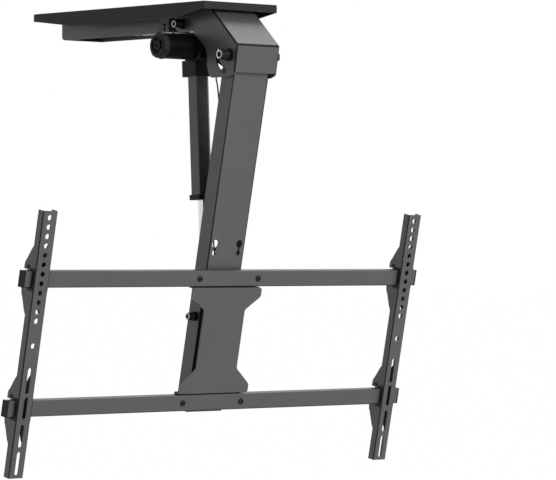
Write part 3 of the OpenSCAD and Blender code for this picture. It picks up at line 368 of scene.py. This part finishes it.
def round_bends(bm, layer, breadth, broad, bend, material):
    """Rounds every bend of a sheet, and gives the rounding a material number, or -1 to keep it."""
    for pair in bend_edges(bm, layer, breadth, broad):
        for number in pair:
            lines = bend_edges(bm, layer, breadth, broad)
            if pair in lines:
                clear_strip(bm, layer, number, lines[pair][0], bend * MM)
    bmesh.ops.dissolve_verts(bm, verts=[v for v in bm.verts if len(v.link_edges) == 2])
    edges = [e for line in bend_edges(bm, layer, breadth, broad).values() for e in line]
    if edges:
        # A little less than the strip, so that the rounding ends inside it
        bmesh.ops.bevel(bm, geom=edges, offset=bend * 0.98 * MM, offset_type="OFFSET",
                        segments=BEND_STEPS, profile=0.5, affect="EDGES", clamp_overlap=False,
                        material=material)
        bm.normal_update()


def dressed(node, name, body, slot, bend=2.0, broad=4.0, edge=0.3, bend_shade=None, below=False,
            hollow_shade=None):
    """A copy of a CAD node's mesh with its bends rounded and its cut edges broken.
    broad is the least breadth of a bent region, so that a sheet's cut edges aren't taken for one.
    bend_shade names the darker finish of the bends, which is painted shade along each bend, and
    below keeps that painted shade to the lower bends. hollow_shade names the darker finish of the
    broad faces that meet in a hollow, which is painted shade inside the channel."""
    bm = bmesh.new()
    bm.from_mesh(NODES[node].data)
    bmesh.ops.remove_doubles(bm, verts=bm.verts, dist=2 * SAME * MM)
    bmesh.ops.dissolve_limit(bm, angle_limit=math.radians(1.0), verts=bm.verts, edges=bm.edges,
                             delimit={"NORMAL"})
    if bend:
        layer, breadth = flat_regions(bm)
        # The broad faces in a hollow take the darker finish: painted shade inside the channel
        if hollow_shade:
            hollow = hollow_regions(bm, layer, breadth, broad)
            for face in bm.faces:
                if face[layer] in hollow:
                    face.material_index = 2
        # The rounded bends take the darker finish: painted shade along each bend
        round_bends(bm, layer, breadth, broad, bend, 1 if bend_shade else -1)
        # With below, the painted shade stays on the lower bends only, and the upper bends, facing
        # the light, go back to the paint
        if below:
            for face in bm.faces:
                if face.material_index == 1 and face.normal.z > -0.1:
                    face.material_index = 0
    return new_piece(name, bm, body, slot, (node,), [m for m in (bend_shade, hollow_shade) if m], bevel=edge)


def turned(bm, profile, steps):
    """Spins a profile of (distance along, radius) points in mm about the Z axis of the bmesh."""
    verts = [bm.verts.new((radius * MM, 0, along * MM)) for along, radius in profile]
    edges = [bm.edges.new(pair) for pair in zip(verts, verts[1:])]
    bmesh.ops.spin(bm, geom=verts + edges, cent=(0, 0, 0), axis=(0, 0, 1), dvec=(0, 0, 0),
                   angle=math.tau, steps=steps, use_merge=True, use_duplicate=False)
    bmesh.ops.remove_doubles(bm, verts=bm.verts, dist=SAME * MM)


def hex_socket(bm, along, rim, across, depth):
    """The end of a cap screw: a ring face, in the second material, round a hexagon socket, in
    the third, whose width across flats and depth are given."""
    apothem = across / 2 * MM

    def circle(radius, z):
        return bmesh.ops.create_circle(bm, cap_ends=False, radius=radius, segments=BOLT_STEPS,
                                       matrix=Matrix.Translation((0, 0, z * MM)))["verts"]

    def edges_among(verts, edges):
        return [e for e in edges if e.verts[0] in verts and e.verts[1] in verts]

    outer = circle(rim * MM, along)
    inner = circle(apothem, along)
    for vert in inner:
        angle = math.atan2(vert.co.y, vert.co.x) % (math.pi / 3) - math.pi / 6
        vert.co.xy = vert.co.xy * (1 / math.cos(angle))
    hole = edges_among(inner, bm.edges)
    ring = bmesh.ops.bridge_loops(bm, edges=edges_among(outer, bm.edges) + hole)["faces"]
    # The ring takes the second material, which on the big bolts is a pale painted highlight
    for face in ring:
        face.material_index = 1
    wall = bmesh.ops.extrude_edge_only(bm, edges=hole)["geom"]
    deep = verts_of(wall)
    bmesh.ops.translate(bm, verts=deep, vec=(0, 0, -depth * MM))
    rim_below = edges_among(deep, [e for e in wall if isinstance(e, bmesh.types.BMEdge)])
    floor = bmesh.ops.contextual_create(bm, geom=rim_below)["faces"]
    # The socket's wall and floor take the third material: painted shade in the recess
    for face in [f for f in wall if isinstance(f, bmesh.types.BMFace)] + floor:
        face.material_index = 2
    bmesh.ops.remove_doubles(bm, verts=bm.verts, dist=SAME * MM)
    bmesh.ops.recalc_face_normals(bm, faces=bm.faces)


def knurled(bm, low, high, radius, depth):
    """Presses every other line of a head's side inwards, from low to high along the axis."""
    for vert in bm.verts:
        here = math.hypot(vert.co.x, vert.co.y)
        if abs(here - radius * MM) < 0.02 * MM and low - 2 < vert.co.z / MM < high + 2:
            if round(math.atan2(vert.co.y, vert.co.x) / (math.tau / BOLT_STEPS)) % 2:
                vert.co.xy = vert.co.xy * (1 - depth * MM / here)


def along_x(x, y, z, side=-1):
    """Turns the bmesh's Z axis to point along side times X, and moves it to x, y, z mm."""
    turn = Matrix.Rotation(math.radians(90 * side), 4, "Y")
    return Matrix.Translation(Vector((x, y, z)) * MM) @ turn


def chamfered(z0, z1, radius, cut):
    """Profile points of a cylinder with both rims broken."""
    return [(z0, radius - cut), (z0 + cut, radius), (z1 - cut, radius), (z1, radius - cut)]


# Property groups

class MountSizes(bpy.types.PropertyGroup):
    """Sizes that a user would change, in millimetres."""

    bend: FloatProperty(
        name="Bend radius", description="Outside radius of the bends in the heavy sheet",
        default=2.4, min=0.5, max=4.0)
    edge: FloatProperty(
        name="Edge break", description="Rounding of the cut edges",
        default=0.15, min=0.1, max=0.8)
    tube_round: FloatProperty(
        name="Tube corner", description="Outside corner radius of the cross rails",
        default=1.6, min=0.5, max=3.0)
    knurl: FloatProperty(
        name="Knurl depth", description="Depth of the knurl on the cap screws",
        default=0.22, min=0.0, max=0.5)
    lead: FloatProperty(
        name="Lead diameter", description="Diameter of the receiver's lead",
        default=2.5, min=1.0, max=4.0)
    fins: IntProperty(
        name="Housing ribs", description="Ribs cast on the gear housing",
        default=3, min=1, max=6)


class MountColours(bpy.types.PropertyGroup):
    """Colours of the finishes, as sRGB hex codes."""

    frame: StringProperty(
        name="Frame", description="Powder coat of the arm, rails and brackets", default="#464646")
    plate: StringProperty(
        name="Plate", description="Powder coat of the ceiling plate", default="#181818")
    fastener: StringProperty(
        name="Fasteners", description="Black oxide of bolts and screws", default="#0d0d0d")
    plastic: StringProperty(
        name="Plastic", description="Black mouldings", default="#191919")
    box: StringProperty(
        name="Control box", description="Grey moulding of the control box", default="#8b8d8f")
    tube: StringProperty(
        name="Tube", description="Anodised outer tube of the actuator", default="#3c3c3c")
    motor: StringProperty(
        name="Motor", description="Enamel of the motor and gear housing", default="#040404")


# Operators

class MOUNT_OT_finishes(bpy.types.Operator):
    """Makes the finishes and gives every CAD node its own"""

    bl_idname = "mount.finishes"
    bl_label = "Finishes"

    def execute(self, context):
        make_materials(context.scene.mount_colours)
        slots = {s["node"]: s["material_slot"] for s in frame["record"]["subparts"]}
        for name, node in NODES.items():
            node.data.materials.clear()
            node.data.materials.append(MATERIALS[slots[name]])
        return {"FINISHED"}


class MOUNT_OT_sheet_metal(bpy.types.Operator):
    """Rounds the bends of the plate, head bracket, channel, arm and interface plate"""

    bl_idname = "mount.sheet_metal"
    bl_label = "Sheet metal"

    def execute(self, context):
        s = context.scene.mount_sizes
        # Each sheet's bends take a darker finish as painted shade, and the arm's inner faces take
        # painted shade too
        dressed("ceiling_plate", "plate_sheet", "ceiling_unit", "plate_paint", bend=1.6,
                edge=s.edge, bend_shade="plate_bend_shade")
        dressed("head_bracket", "head_sheet", "ceiling_unit", "frame_paint", bend=s.bend,
                edge=s.edge, bend_shade="frame_bend_shade")
        dressed("rear_channel", "channel_sheet", "ceiling_unit", "frame_paint", bend=1.8,
                edge=s.edge, bend_shade="frame_bend_shade")
        dressed("arm_channel", "arm_sheet", "arm", "frame_paint", bend=s.bend, edge=s.edge,
                bend_shade="frame_bend_shade", hollow_shade="frame_hollow_shade")
        dressed("interface_plate", "interface_sheet", "arm", "frame_paint", bend=s.bend,
                edge=s.edge)
        return {"FINISHED"}


class MOUNT_OT_rails(bpy.types.Operator):
    """Rounds the cross rails and breaks the edges of their end caps"""

    bl_idname = "mount.rails"
    bl_label = "Cross rails"

    def execute(self, context):
        s = context.scene.mount_sizes
        # The rails' lower bends take the darker finish: painted shade
        for node in ("top_rail", "bottom_rail"):
            dressed(node, node + "_tube", "arm", "frame_paint", bend=s.tube_round, edge=s.edge,
                    bend_shade="frame_bend_shade", below=True)
        dressed("rail_end_caps", "rail_plugs", "arm", "black_plastic", bend=0, edge=0.4)
        return {"FINISHED"}


class MOUNT_OT_brackets(bpy.types.Operator):
    """Rounds the two screen brackets and their retainers, and lines the notches"""

    bl_idname = "mount.brackets"
    bl_label = "Screen brackets"

    # The pads round a notch, in mm from the bracket's middle and out from the arm: left face,
    # thickness, back, front and half height. The first two line the walls, the others cover them
    PADS = ((-12.4, 1.5, 16.1, 30.1, 19.5), (10.9, 1.5, 16.1, 30.1, 19.5),
            (-15.3, 0.8, 17.6, 31.8, 18.2), (14.5, 0.8, 17.6, 31.8, 18.2))
    NOTCH_FRONT, NOTCH_HALF = 25.9, 13.9

    def execute(self, context):
        s = context.scene.mount_sizes
        for side, centre in (("left", -BRACKET_X), ("right", BRACKET_X)):
            body = side + "_bracket_body"
            # The bracket's bends and hollow faces take darker finishes: painted shade
            dressed(side + "_bracket", side + "_bracket_sheet", body, "frame_paint", bend=1.6,
                    edge=s.edge, bend_shade="frame_bend_shade", hollow_shade="frame_hollow_shade")
            dressed(side + "_retainers", side + "_hook_plates", body, "black_steel", bend=0.8,
                    edge=0.25)
            bm = bmesh.new()
            for rail in RAILS_S:
                for pad in self.PADS:
                    self.add_pad(bm, centre, rail, *pad)
            bmesh.ops.recalc_face_normals(bm, faces=bm.faces)
            new_piece(side + "_notch_pads", bm, body, "seal_rubber", transform=ARM, bevel=0.3)
        return {"FINISHED"}

    def add_pad(self, bm, centre, rail, left, thick, back, front, half):
        """Adds a dark C-shaped pad round a notch, where its rail passes through."""
        inner = self.NOTCH_HALF
        shape = [(back, inner), (self.NOTCH_FRONT, inner), (self.NOTCH_FRONT, -inner),
                 (back, -inner), (back, -half), (front, -half), (front, half), (back, half)]
        face = bm.faces.new([bm.verts.new(Vector((centre + left, -n, -rail - along)) * MM)
                             for n, along in shape])
        made = bmesh.ops.extrude_face_region(bm, geom=[face])["geom"]
        bmesh.ops.translate(bm, verts=verts_of(made), vec=(thick * MM, 0, 0))


class MOUNT_OT_bolts(bpy.types.Operator):
    """Turns the hinge bolt, the actuator bolt and the lower studs, with knurled heads"""

    bl_idname = "mount.bolts"
    bl_label = "Bolts"

    def execute(self, context):
        depth = context.scene.mount_sizes.knurl
        # Name, node, centre, where the collar starts, then radius and length of the collar, of the
        # head and of the shank, whose length is what stands out past the other cheek
        for name, node, at, start, (collar_r, collar_l), (head_r, head_l), (shank_r, past) in (
            ("hinge_cap_screw", "hinge_bolt", HINGE, CHEEK_X + 2,
             (9.5, 9.0), (8.0, 10.0), (5.0, 14.0)),
            ("pivot_cap_screw", "actuator_bolt", PIVOT, CHEEK_X,
             (8.5, 10.5), (6.5, 9.0), (4.0, 11.0)),
        ):
            bm = bmesh.new()
            end, neck = -CHEEK_X - past, start + collar_l
            tip = neck + head_l
            turned(bm, [(end, 0.0), (end, shank_r - 0.8), (end + 0.8, shank_r),
                        (start - 2.2, shank_r), (start, shank_r)]
                   + chamfered(start, neck, collar_r, 0.6)
                   + [(neck, head_r - 0.4), (neck + 0.4, head_r), (tip - 1.0, head_r),
                      (tip, head_r - 1.0)], BOLT_STEPS)
            knurled(bm, neck + 1.0, tip - 1.2, head_r, depth)
            hex_socket(bm, tip, head_r - 1.0, head_r * 1.05, 5.0)
            new_piece(name, bm, "ceiling_unit", "black_steel", (node,),
                      ("rim_highlight", "socket_shade"), along_x(0, at[1], at[2]))
        # The lower studs, one in each arm wall
        bm = bmesh.new()
        inner, wall, neck, tip, head_r = 36.0, 38.5, 47.5, 55.5, 6.25
        for side in (-1, 1):
            part = bmesh.new()
            turned(part, [(inner, 0.0), (inner, 5.0), (wall, 5.0)]
                   + chamfered(wall, neck, 7.85, 0.6)
                   + [(neck, head_r - 0.4), (neck + 0.4, head_r), (tip - 0.8, head_r),
                      (tip, head_r - 0.8)], BOLT_STEPS)
            knurled(part, neck + 0.9, tip - 1.2, head_r, depth)
            hex_socket(part, tip, head_r - 0.8, 6.4, 4.0)
            absorb(bm, part, along_x(0, -LOWER_N, -LOWER_S, side))
        new_piece("lower_cap_screws", bm, "arm", "black_steel", ("lower_pivot_studs",),
                  ("rim_highlight", "socket_shade"), ARM)
        return {"FINISHED"}


class MOUNT_OT_rail_screws(bpy.types.Operator):
    """Domes the button heads of the rail screws"""

    bl_idname = "mount.rail_screws"
    bl_label = "Rail screws"

    def execute(self, context):
        bm = bmesh.new()
        shank_r, end, head_r = 3.0, -22.5, 5.15
        dome = [(3.0 * math.sin(math.radians(d)), shank_r + 2.25 * math.cos(math.radians(d)))
                for d in (8, 25, 45, 65, 82)]
        turn = Matrix.Rotation(math.radians(90), 4, "X")
        for s in RAILS_S:
            for x in (-64.0, 64.0):
                part = bmesh.new()
                turned(part, [(end, 0.0), (end, shank_r - 0.5), (end + 0.5, shank_r),
                              (0.0, shank_r), (0.0, head_r)] + dome, BOLT_STEPS)
                hex_socket(part, *dome[-1], 4.4, 2.2)
                absorb(bm, part, Matrix.Translation(Vector((x, -RAIL_FRONT, -s)) * MM) @ turn)
        new_piece("rail_button_screws", bm, "arm", "black_steel", ("rail_screws",),
                  ("black_steel", "socket_shade"), ARM)
        return {"FINISHED"}


class MOUNT_OT_motor(bpy.types.Operator):
    """Turns the motor's can with its rolled edges, and its end cap with hub, ring and screws"""

    bl_idname = "mount.motor"
    bl_label = "Motor"

    def execute(self, context):
        base = ACT @ along_x(*MOTOR_FOOT)
        r, length, wall = MOTOR_R, 64.0, 2.0
        bm = bmesh.new()
        turned(bm, [(2.5, 6.0), (0.0, 6.0), (0.0, 18.6), (0.8, 19.4), (0.8, 20.2), (1.6, r),
                    (4.0, r), (4.4, r - 0.5), (5.2, r - 0.5), (5.6, r), (58.4, r), (58.8, r - 0.5),
                    (59.6, r - 0.5), (60.0, r), (length - 0.7, r), (length, r - 0.7),
                    (length, r - wall), (2.5, r - wall), (2.5, 6.0)], 96)
        bmesh.ops.recalc_face_normals(bm, faces=bm.faces)
        # Crimps that hold the end cap: pressed in at four places round the rim
        for vert in bm.verts:
            turn = math.degrees(math.atan2(vert.co.y, vert.co.x)) % 90
            outside = vert.co.xy.length > (r - 1) * MM
            if outside and 57.5 < vert.co.z / MM < 61 and abs(turn - 45) < 6:
                vert.co.xy = vert.co.xy * 0.965
        new_piece("motor_shell", bm, "actuator", "motor_paint", ("motor_can",), transform=base)

        bm = bmesh.new()
        turned(bm, [(length, 0.0), (length, r - 0.6), (65.0, r - 0.2), (73.0, r - 0.2),
                    (74.4, r - 1.0), (75.4, r - 2.4), (76.0, r - 4.2), (76.0, 14.2), (75.5, 13.6),
                    (72.4, 13.2), (72.2, 12.8), (72.2, 8.6), (72.6, 8.1), (75.4, 7.9), (76.2, 7.1),
                    (76.2, 4.0), (75.8, 3.6), (74.0, 3.4), (74.0, 0.0)], 72)
        # Cooling slots in the rim: some facets in every sixth of the turn are pressed in
        slots = []
        for face in bm.faces:
            centre = face.calc_center_median()
            turn = math.degrees(math.atan2(centre.y, centre.x)) % 60
            if 65.5 < centre.z / MM < 72.5 and turn < 14 and centre.xy.length > (r - 1) * MM:
                slots.append(face)
        bmesh.ops.inset_region(bm, faces=slots, thickness=0.5 * MM, depth=-1.4 * MM,
                               use_even_offset=True)
        bmesh.ops.recalc_face_normals(bm, faces=bm.faces)
        new_piece("motor_bell", bm, "actuator", "black_plastic", ("motor_end_cap",),
                  transform=base)

        # Two small screws and two terminal tabs on the end cap
        bm = bmesh.new()
        for side in (-1, 1):
            part = bmesh.new()
            turned(part, [(73.0, 0.0), (73.0, 2.3), (74.6, 2.3), (75.0, 1.9), (75.0, 0.0)], 24)
            absorb(bm, part, Matrix.Translation(Vector((side * 7.9, side * 7.9, 0)) * MM))
            add_block(bm, (4.6, 0.8, 3.2), (side * 7.6, -side * 7.6, 74.2), turn=45)
        bmesh.ops.recalc_face_normals(bm, faces=bm.faces)
        new_piece("motor_terminals", bm, "actuator", "black_steel", (), ("black_steel",), base)
        return {"FINISHED"}


class MOUNT_OT_actuator(bpy.types.Operator):
    """Rounds the actuator's outer parts, and adds the gear housing's ribs and motor flange"""

    bl_idname = "mount.actuator"
    bl_label = "Actuator"

    def execute(self, context):
        s = context.scene.mount_sizes
        for node, name, slot, bend, edge in (
            ("gear_housing", "gear_case", "housing_alloy", 1.2, 0),
            ("collar", "switch_collar", "black_plastic", 0, 0.5),
            ("actuator_tube", "actuator_extrusion", "tube_finish", 0.9, 0.2),
            ("tube_end_cap", "actuator_nose", "black_plastic", 1.4, s.edge),
            ("rear_clevis", "actuator_eye", "bare_steel", 1.2, s.edge),
        ):
            dressed(node, name, "actuator", slot, bend=bend, edge=edge)
        # The housing's screws take the black steel in place of their zinc: painted shade under the
        # motor
        NODES["gear_housing_screws"].data.materials[0] = MATERIALS["black_steel"]
        # The flange that the motor bolts to
        bm = bmesh.new()
        turned(bm, [(-1.0, 0.0), (-1.0, 24.0), (-0.4, 24.6), (3.0, 24.6), (3.6, 24.0), (3.6, 0.0)],
               72)
        bmesh.ops.recalc_face_normals(bm, faces=bm.faces)
        new_piece("gear_case_flange", bm, "actuator", "housing_alloy",
                  transform=ACT @ along_x(*MOTOR_FOOT))
        # Cast ribs across the front of the gear housing, 11 mm apart
        bm = bmesh.new()
        for k in range(s.fins):
            add_block(bm, (30.0, 2.0, 2.0), (0.0, -29.0, -28.0 - 11.0 * k))
        new_piece("gear_case_ribs", bm, "actuator", "housing_alloy", transform=ACT, bevel=0.6,
                  segments=3)
        return {"FINISHED"}


class MOUNT_OT_control_box(bpy.types.Operator):
    """Rounds the control box, its lid and ends and the receiver, and seats two sockets in a side"""

    bl_idname = "mount.control_box"
    bl_label = "Control box"

    def execute(self, context):
        s = context.scene.mount_sizes
        dressed("control_box", "control_case", "ceiling_unit", "grey_plastic", bend=1.8,
                edge=s.edge)
        dressed("control_box_lid", "control_cover", "ceiling_unit", "grey_plastic", bend=0.6,
                broad=1.5, edge=0.2)
        dressed("control_box_ends", "control_ends", "ceiling_unit", "black_plastic", bend=1.2)
        dressed("ir_receiver", "receiver_case", "arm", "black_plastic", bend=1.4, edge=s.edge)
        bm = bmesh.new()
        for z in (-27.0, -34.0):
            part = bmesh.new()
            turned(part, [(-1.8, 0.0), (-1.8, 2.45), (0.9, 2.45), (1.1, 2.2), (1.1, 1.5),
                          (0.9, 1.3), (-0.6, 1.3), (-0.6, 0.0)], 32)
            absorb(bm, part, along_x(5.0, -24.4, z))
        bmesh.ops.recalc_face_normals(bm, faces=bm.faces)
        new_piece("control_sockets", bm, "ceiling_unit", "black_plastic")
        return {"FINISHED"}


def tube_along(name, points, body, diameter, transform=None, follow=None):
    """A round lead along points in mm, which rides on a body or, with follow, whose contents are
    not used, stays fixed where it is drawn.
    """
    curve = bpy.data.curves.new(name, "CURVE")
    curve.dimensions = "3D"
    curve.resolution_u = 6
    curve.bevel_depth = diameter / 2 * MM
    curve.bevel_resolution = 3
    curve.use_fill_caps = True
    spline = curve.splines.new("BEZIER")
    spline.bezier_points.add(len(points) - 1)
    for point, co in zip(spline.bezier_points, points):
        where = Vector(co) * MM
        point.co = transform @ where if transform is not None else where
        point.handle_left_type = point.handle_right_type = "AUTO"
    holder = bpy.data.objects.new(name + "_route", curve)
    bpy.context.scene.collection.objects.link(holder)
    bpy.context.view_layer.update()
    evaluated = holder.evaluated_get(bpy.context.evaluated_depsgraph_get())
    mesh = bpy.data.meshes.new_from_object(evaluated)
    bpy.data.objects.remove(holder)
    mesh.name = name
    mesh.materials.clear()
    mesh.materials.append(MATERIALS["lead_jacket"])
    for polygon in mesh.polygons:
        polygon.use_smooth = True
    piece = bpy.data.objects.new(name, mesh)
    bpy.context.scene.collection.objects.link(piece)
    if follow:
        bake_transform(piece)
    else:
        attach(piece, body)
    return piece


class MOUNT_OT_lead(bpy.types.Operator):
    """Runs the receiver's lead from the control box, round the hinge and down the arm"""

    bl_idname = "mount.lead"
    bl_label = "Receiver lead"

    # From the control box to the hinge, in the row's frame
    UPPER = ((22, -47, -26), (22, -62, -26.2), (22, -79, -26), (22, -88, -25.5), (19, -98, -21),
             (13, -110, -15.5), (5, -124, -14), (-3, -140, -14), (-10, -156, -14),
             (-15, -172, -14), (-18, -188, -15), (-19, -202, -19.5), (-19, -213, -27),
             (-19, -222, -38), (-19, -229, -50), (-19, -234, -62), (-19, -237, -73))
    # Round the hinge: the first points in the row's frame, the others in the arm's
    BRIDGE = ((-19, -237, -73), (-20, -238, -80))
    BRIDGE_ARM = ((-23, 11.8, 2.1), (-27, 11.8, 2.1), (-30, 11.8, 1.5), (-32, 11, -5.5))
    # Down the arm to the receiver, in the arm's frame
    LOWER = ((-32, 11, -5.5), (-32, 14, -15), (-32, 20.5, -23.5), (-32, 29.5, -30.5),
             (-32, 37, -37.5), (-32, 39.5, -45), (-32, 34, -56), (-32, 29.5, -68),
             (-32, 23.5, -84), (-32, 17, -104), (-32, 11.5, -124), (-32, 7.5, -146),
             (-32, 5.5, -170), (-32, 5.5, -200), (-32, 5.5, -232), (-32, 5.5, -262),
             (-31.5, 2, -280), (-30, -3, -292), (-28.4, -5.2, -302), (-27.2, -5.2, -313),
             (-24, -5.2, -323), (-21.8, -5.2, -333), (-22, -5.2, -352), (-24, -5.3, -372),
             (-26.5, -5.3, -395), (-28, -5.3, -420), (-29, -5.3, -440), (-29, -5.3, -465),
             (-28.5, -5, -490), (-26, -4, -512), (-20, -2.6, -532), (-10, -1.6, -548),
             (-3, -1.1, -558), (0, -1.1, -566), (0, -1.1, -573))

    def execute(self, context):
        d = context.scene.mount_sizes.lead
        join = [ARM @ (Vector(p) * MM) / MM for p in self.BRIDGE_ARM]
        top = tube_along("lead_from_box", self.UPPER, "ceiling_unit", d)
        tube_along("lead_round_hinge", [*self.BRIDGE, *join], None, d,
                   follow=("ceiling_unit", "arm", (-0.0195, -0.237, -0.084),
                           (-0.0318, -0.237, -0.084)))
        bottom = tube_along("lead_down_arm", self.LOWER, "arm", d, ARM)
        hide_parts("lead_upper")
        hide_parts("lead_lower")
        return {"FINISHED"}


def shows_backdrop(tree):
    """A node that gives one for camera, glossy and transmission rays, and zero for the rest."""
    path = add(tree, "ShaderNodeLightPath")
    seen = add(tree, "ShaderNodeMath",
               {0: path.outputs["Is Camera Ray"], 1: path.outputs["Is Glossy Ray"]},
               operation="MAXIMUM")
    return add(tree, "ShaderNodeMath",
               {0: seen.outputs[0], 1: path.outputs["Is Transmission Ray"]}, operation="MAXIMUM")


class MOUNT_OT_stage(bpy.types.Operator):
    """Lays the pale floor, the soft lights and the camera"""

    bl_idname = "mount.stage"
    bl_label = "Stage"

    # Name, place, aim, diameter in metres and power in watts of the lamps
    LAMPS = (
        ("front", (0.35, -4.6, 1.2), (0, -0.15, -0.4), 1.8, 192.0),
        ("side", (-3.2, 3.4, 0.2), (0, -0.1, -0.4), 2.4, 3.0),
        ("top", (2.05, 0.65, 2.4), (0, -0.25, -0.05), 1.3, 18.0),
    )
    # What the white surroundings give to the lighting, and how much of the floor is glow
    FILL, GLOW_SHARE = 0.22, 0.985
    FLOOR_Z, FLOOR_SIZE = -1.15, 300.0

    def execute(self, context):
        scene = context.scene
        scene.view_settings.view_transform = "Standard"
        self.surround(scene)
        self.lay_floor(scene)
        self.hang_lamps(scene)
        self.set_camera(scene)
        return {"FINISHED"}

    def surround(self, scene):
        """White where it is seen, dim where it lights."""
        scene.world = bpy.data.worlds.new("studio")
        scene.world.use_nodes = True
        tree = scene.world.node_tree
        tree.nodes.clear()
        seen = shows_backdrop(tree)
        fill = add(tree, "ShaderNodeBackground", sockets={"Color": WHITE, "Strength": self.FILL})
        white = add(tree, "ShaderNodeBackground", sockets={"Color": WHITE, "Strength": 1.0})
        mix = add(tree, "ShaderNodeMixShader",
                  {0: seen.outputs[0], 1: fill.outputs[0], 2: white.outputs[0]})
        add(tree, "ShaderNodeOutputWorld", {"Surface": mix.outputs[0]})

    def lay_floor(self, scene):
        """Painted studio floor: matt white, and it keeps the object's shadow. From below it is
        clear."""
        mat, tree = blank("painted_studio_floor")
        coords = add(tree, "ShaderNodeTexCoord")
        grain = add(tree, "ShaderNodeTexNoise", {"Vector": coords.outputs["Object"]},
                    sockets={"Scale": 40.0})
        bump = add(tree, "ShaderNodeBump", {"Height": grain.outputs[0]},
                   sockets={"Strength": 0.02})
        paint = add(tree, "ShaderNodeBsdfDiffuse", {"Normal": bump.outputs[0]},
                    sockets={"Color": (0.86, 0.86, 0.86, 1)})
        glow = add(tree, "ShaderNodeEmission", sockets={"Color": WHITE, "Strength": 1.01})
        share = add(tree, "ShaderNodeMath", {0: shows_backdrop(tree).outputs[0]},
                    operation="MULTIPLY", sockets={1: self.GLOW_SHARE})
        top = add(tree, "ShaderNodeMixShader",
                  {0: share.outputs[0], 1: paint.outputs[0], 2: glow.outputs[0]})
        side = add(tree, "ShaderNodeNewGeometry")
        clear = add(tree, "ShaderNodeBsdfTransparent")
        mix = add(tree, "ShaderNodeMixShader",
                  {0: side.outputs["Backfacing"], 1: top.outputs[0], 2: clear.outputs[0]})
        add(tree, "ShaderNodeOutputMaterial", {"Surface": mix.outputs[0]})
        bm = bmesh.new()
        bmesh.ops.create_grid(bm, x_segments=1, y_segments=1, size=self.FLOOR_SIZE,
                              matrix=Matrix.Translation((0, 0, self.FLOOR_Z)))
        mesh = bpy.data.meshes.new("floor")
        bm.to_mesh(mesh)
        bm.free()
        mesh.materials.append(mat)
        floor = bpy.data.objects.new("floor", mesh)
        scene.collection.objects.link(floor)

    def hang_lamps(self, scene):
        """Soft round lamps, each aimed at its point."""
        for name, where, aim, size, power in self.LAMPS:
            lamp = bpy.data.lights.new(name, "AREA")
            lamp.shape = "DISK"
            lamp.size = size
            lamp.energy = power
            holder = bpy.data.objects.new(name, lamp)
            holder.location = where
            towards = Vector(aim) - Vector(where)
            holder.rotation_euler = towards.to_track_quat("-Z", "Y").to_euler()
            scene.collection.objects.link(holder)

    def set_camera(self, scene):
        """The camera that took the photograph."""
        camera = bpy.data.cameras.new("camera")
        camera.sensor_width = SENSOR_W
        camera.lens = FOCAL * SENSOR_W / PICTURE_W
        camera.shift_y = RISE / PICTURE_W
        camera.clip_end = 100.0
        holder = bpy.data.objects.new("camera", camera)
        holder.location = CAMERA_AT
        holder.rotation_euler = (math.radians(90), 0, math.radians(CAMERA_TURN))
        scene.collection.objects.link(holder)
        scene.camera = holder


class MOUNT_PT_panel(bpy.types.Panel):
    """Lists the mount's sizes, colours and steps"""

    bl_label = "Ceiling mount"
    bl_idname = "MOUNT_PT_panel"
    bl_space_type = "VIEW_3D"
    bl_region_type = "UI"
    bl_category = "Mount"

    def draw(self, context):
        layout = self.layout
        for group in (context.scene.mount_sizes, context.scene.mount_colours):
            box = layout.box()
            for key in group.bl_rna.properties.keys():
                if key not in ("rna_type", "name"):
                    box.prop(group, key)
        for step in STEPS:
            layout.operator(step.bl_idname)


STEPS = (
    MOUNT_OT_stage,
    MOUNT_OT_finishes,
    MOUNT_OT_lead,
    MOUNT_OT_sheet_metal,
    MOUNT_OT_rails,
    MOUNT_OT_brackets,
    MOUNT_OT_bolts,
    MOUNT_OT_rail_screws,
    MOUNT_OT_motor,
    MOUNT_OT_actuator,
    MOUNT_OT_control_box,
)
CLASSES = (MountSizes, MountColours, *STEPS, MOUNT_PT_panel)


def register():
    for cls in CLASSES:
        bpy.utils.register_class(cls)
    bpy.types.Scene.mount_sizes = PointerProperty(type=MountSizes)
    bpy.types.Scene.mount_colours = PointerProperty(type=MountColours)


def unregister():
    del bpy.types.Scene.mount_sizes
    del bpy.types.Scene.mount_colours
    for cls in reversed(CLASSES):
        bpy.utils.unregister_class(cls)


def main():
    register()
    for step in STEPS:
        group, name = step.bl_idname.split(".")
        getattr(getattr(bpy.ops, group), name)()
    bpy.context.view_layer.update()


if __name__ == "__main__":
    main()
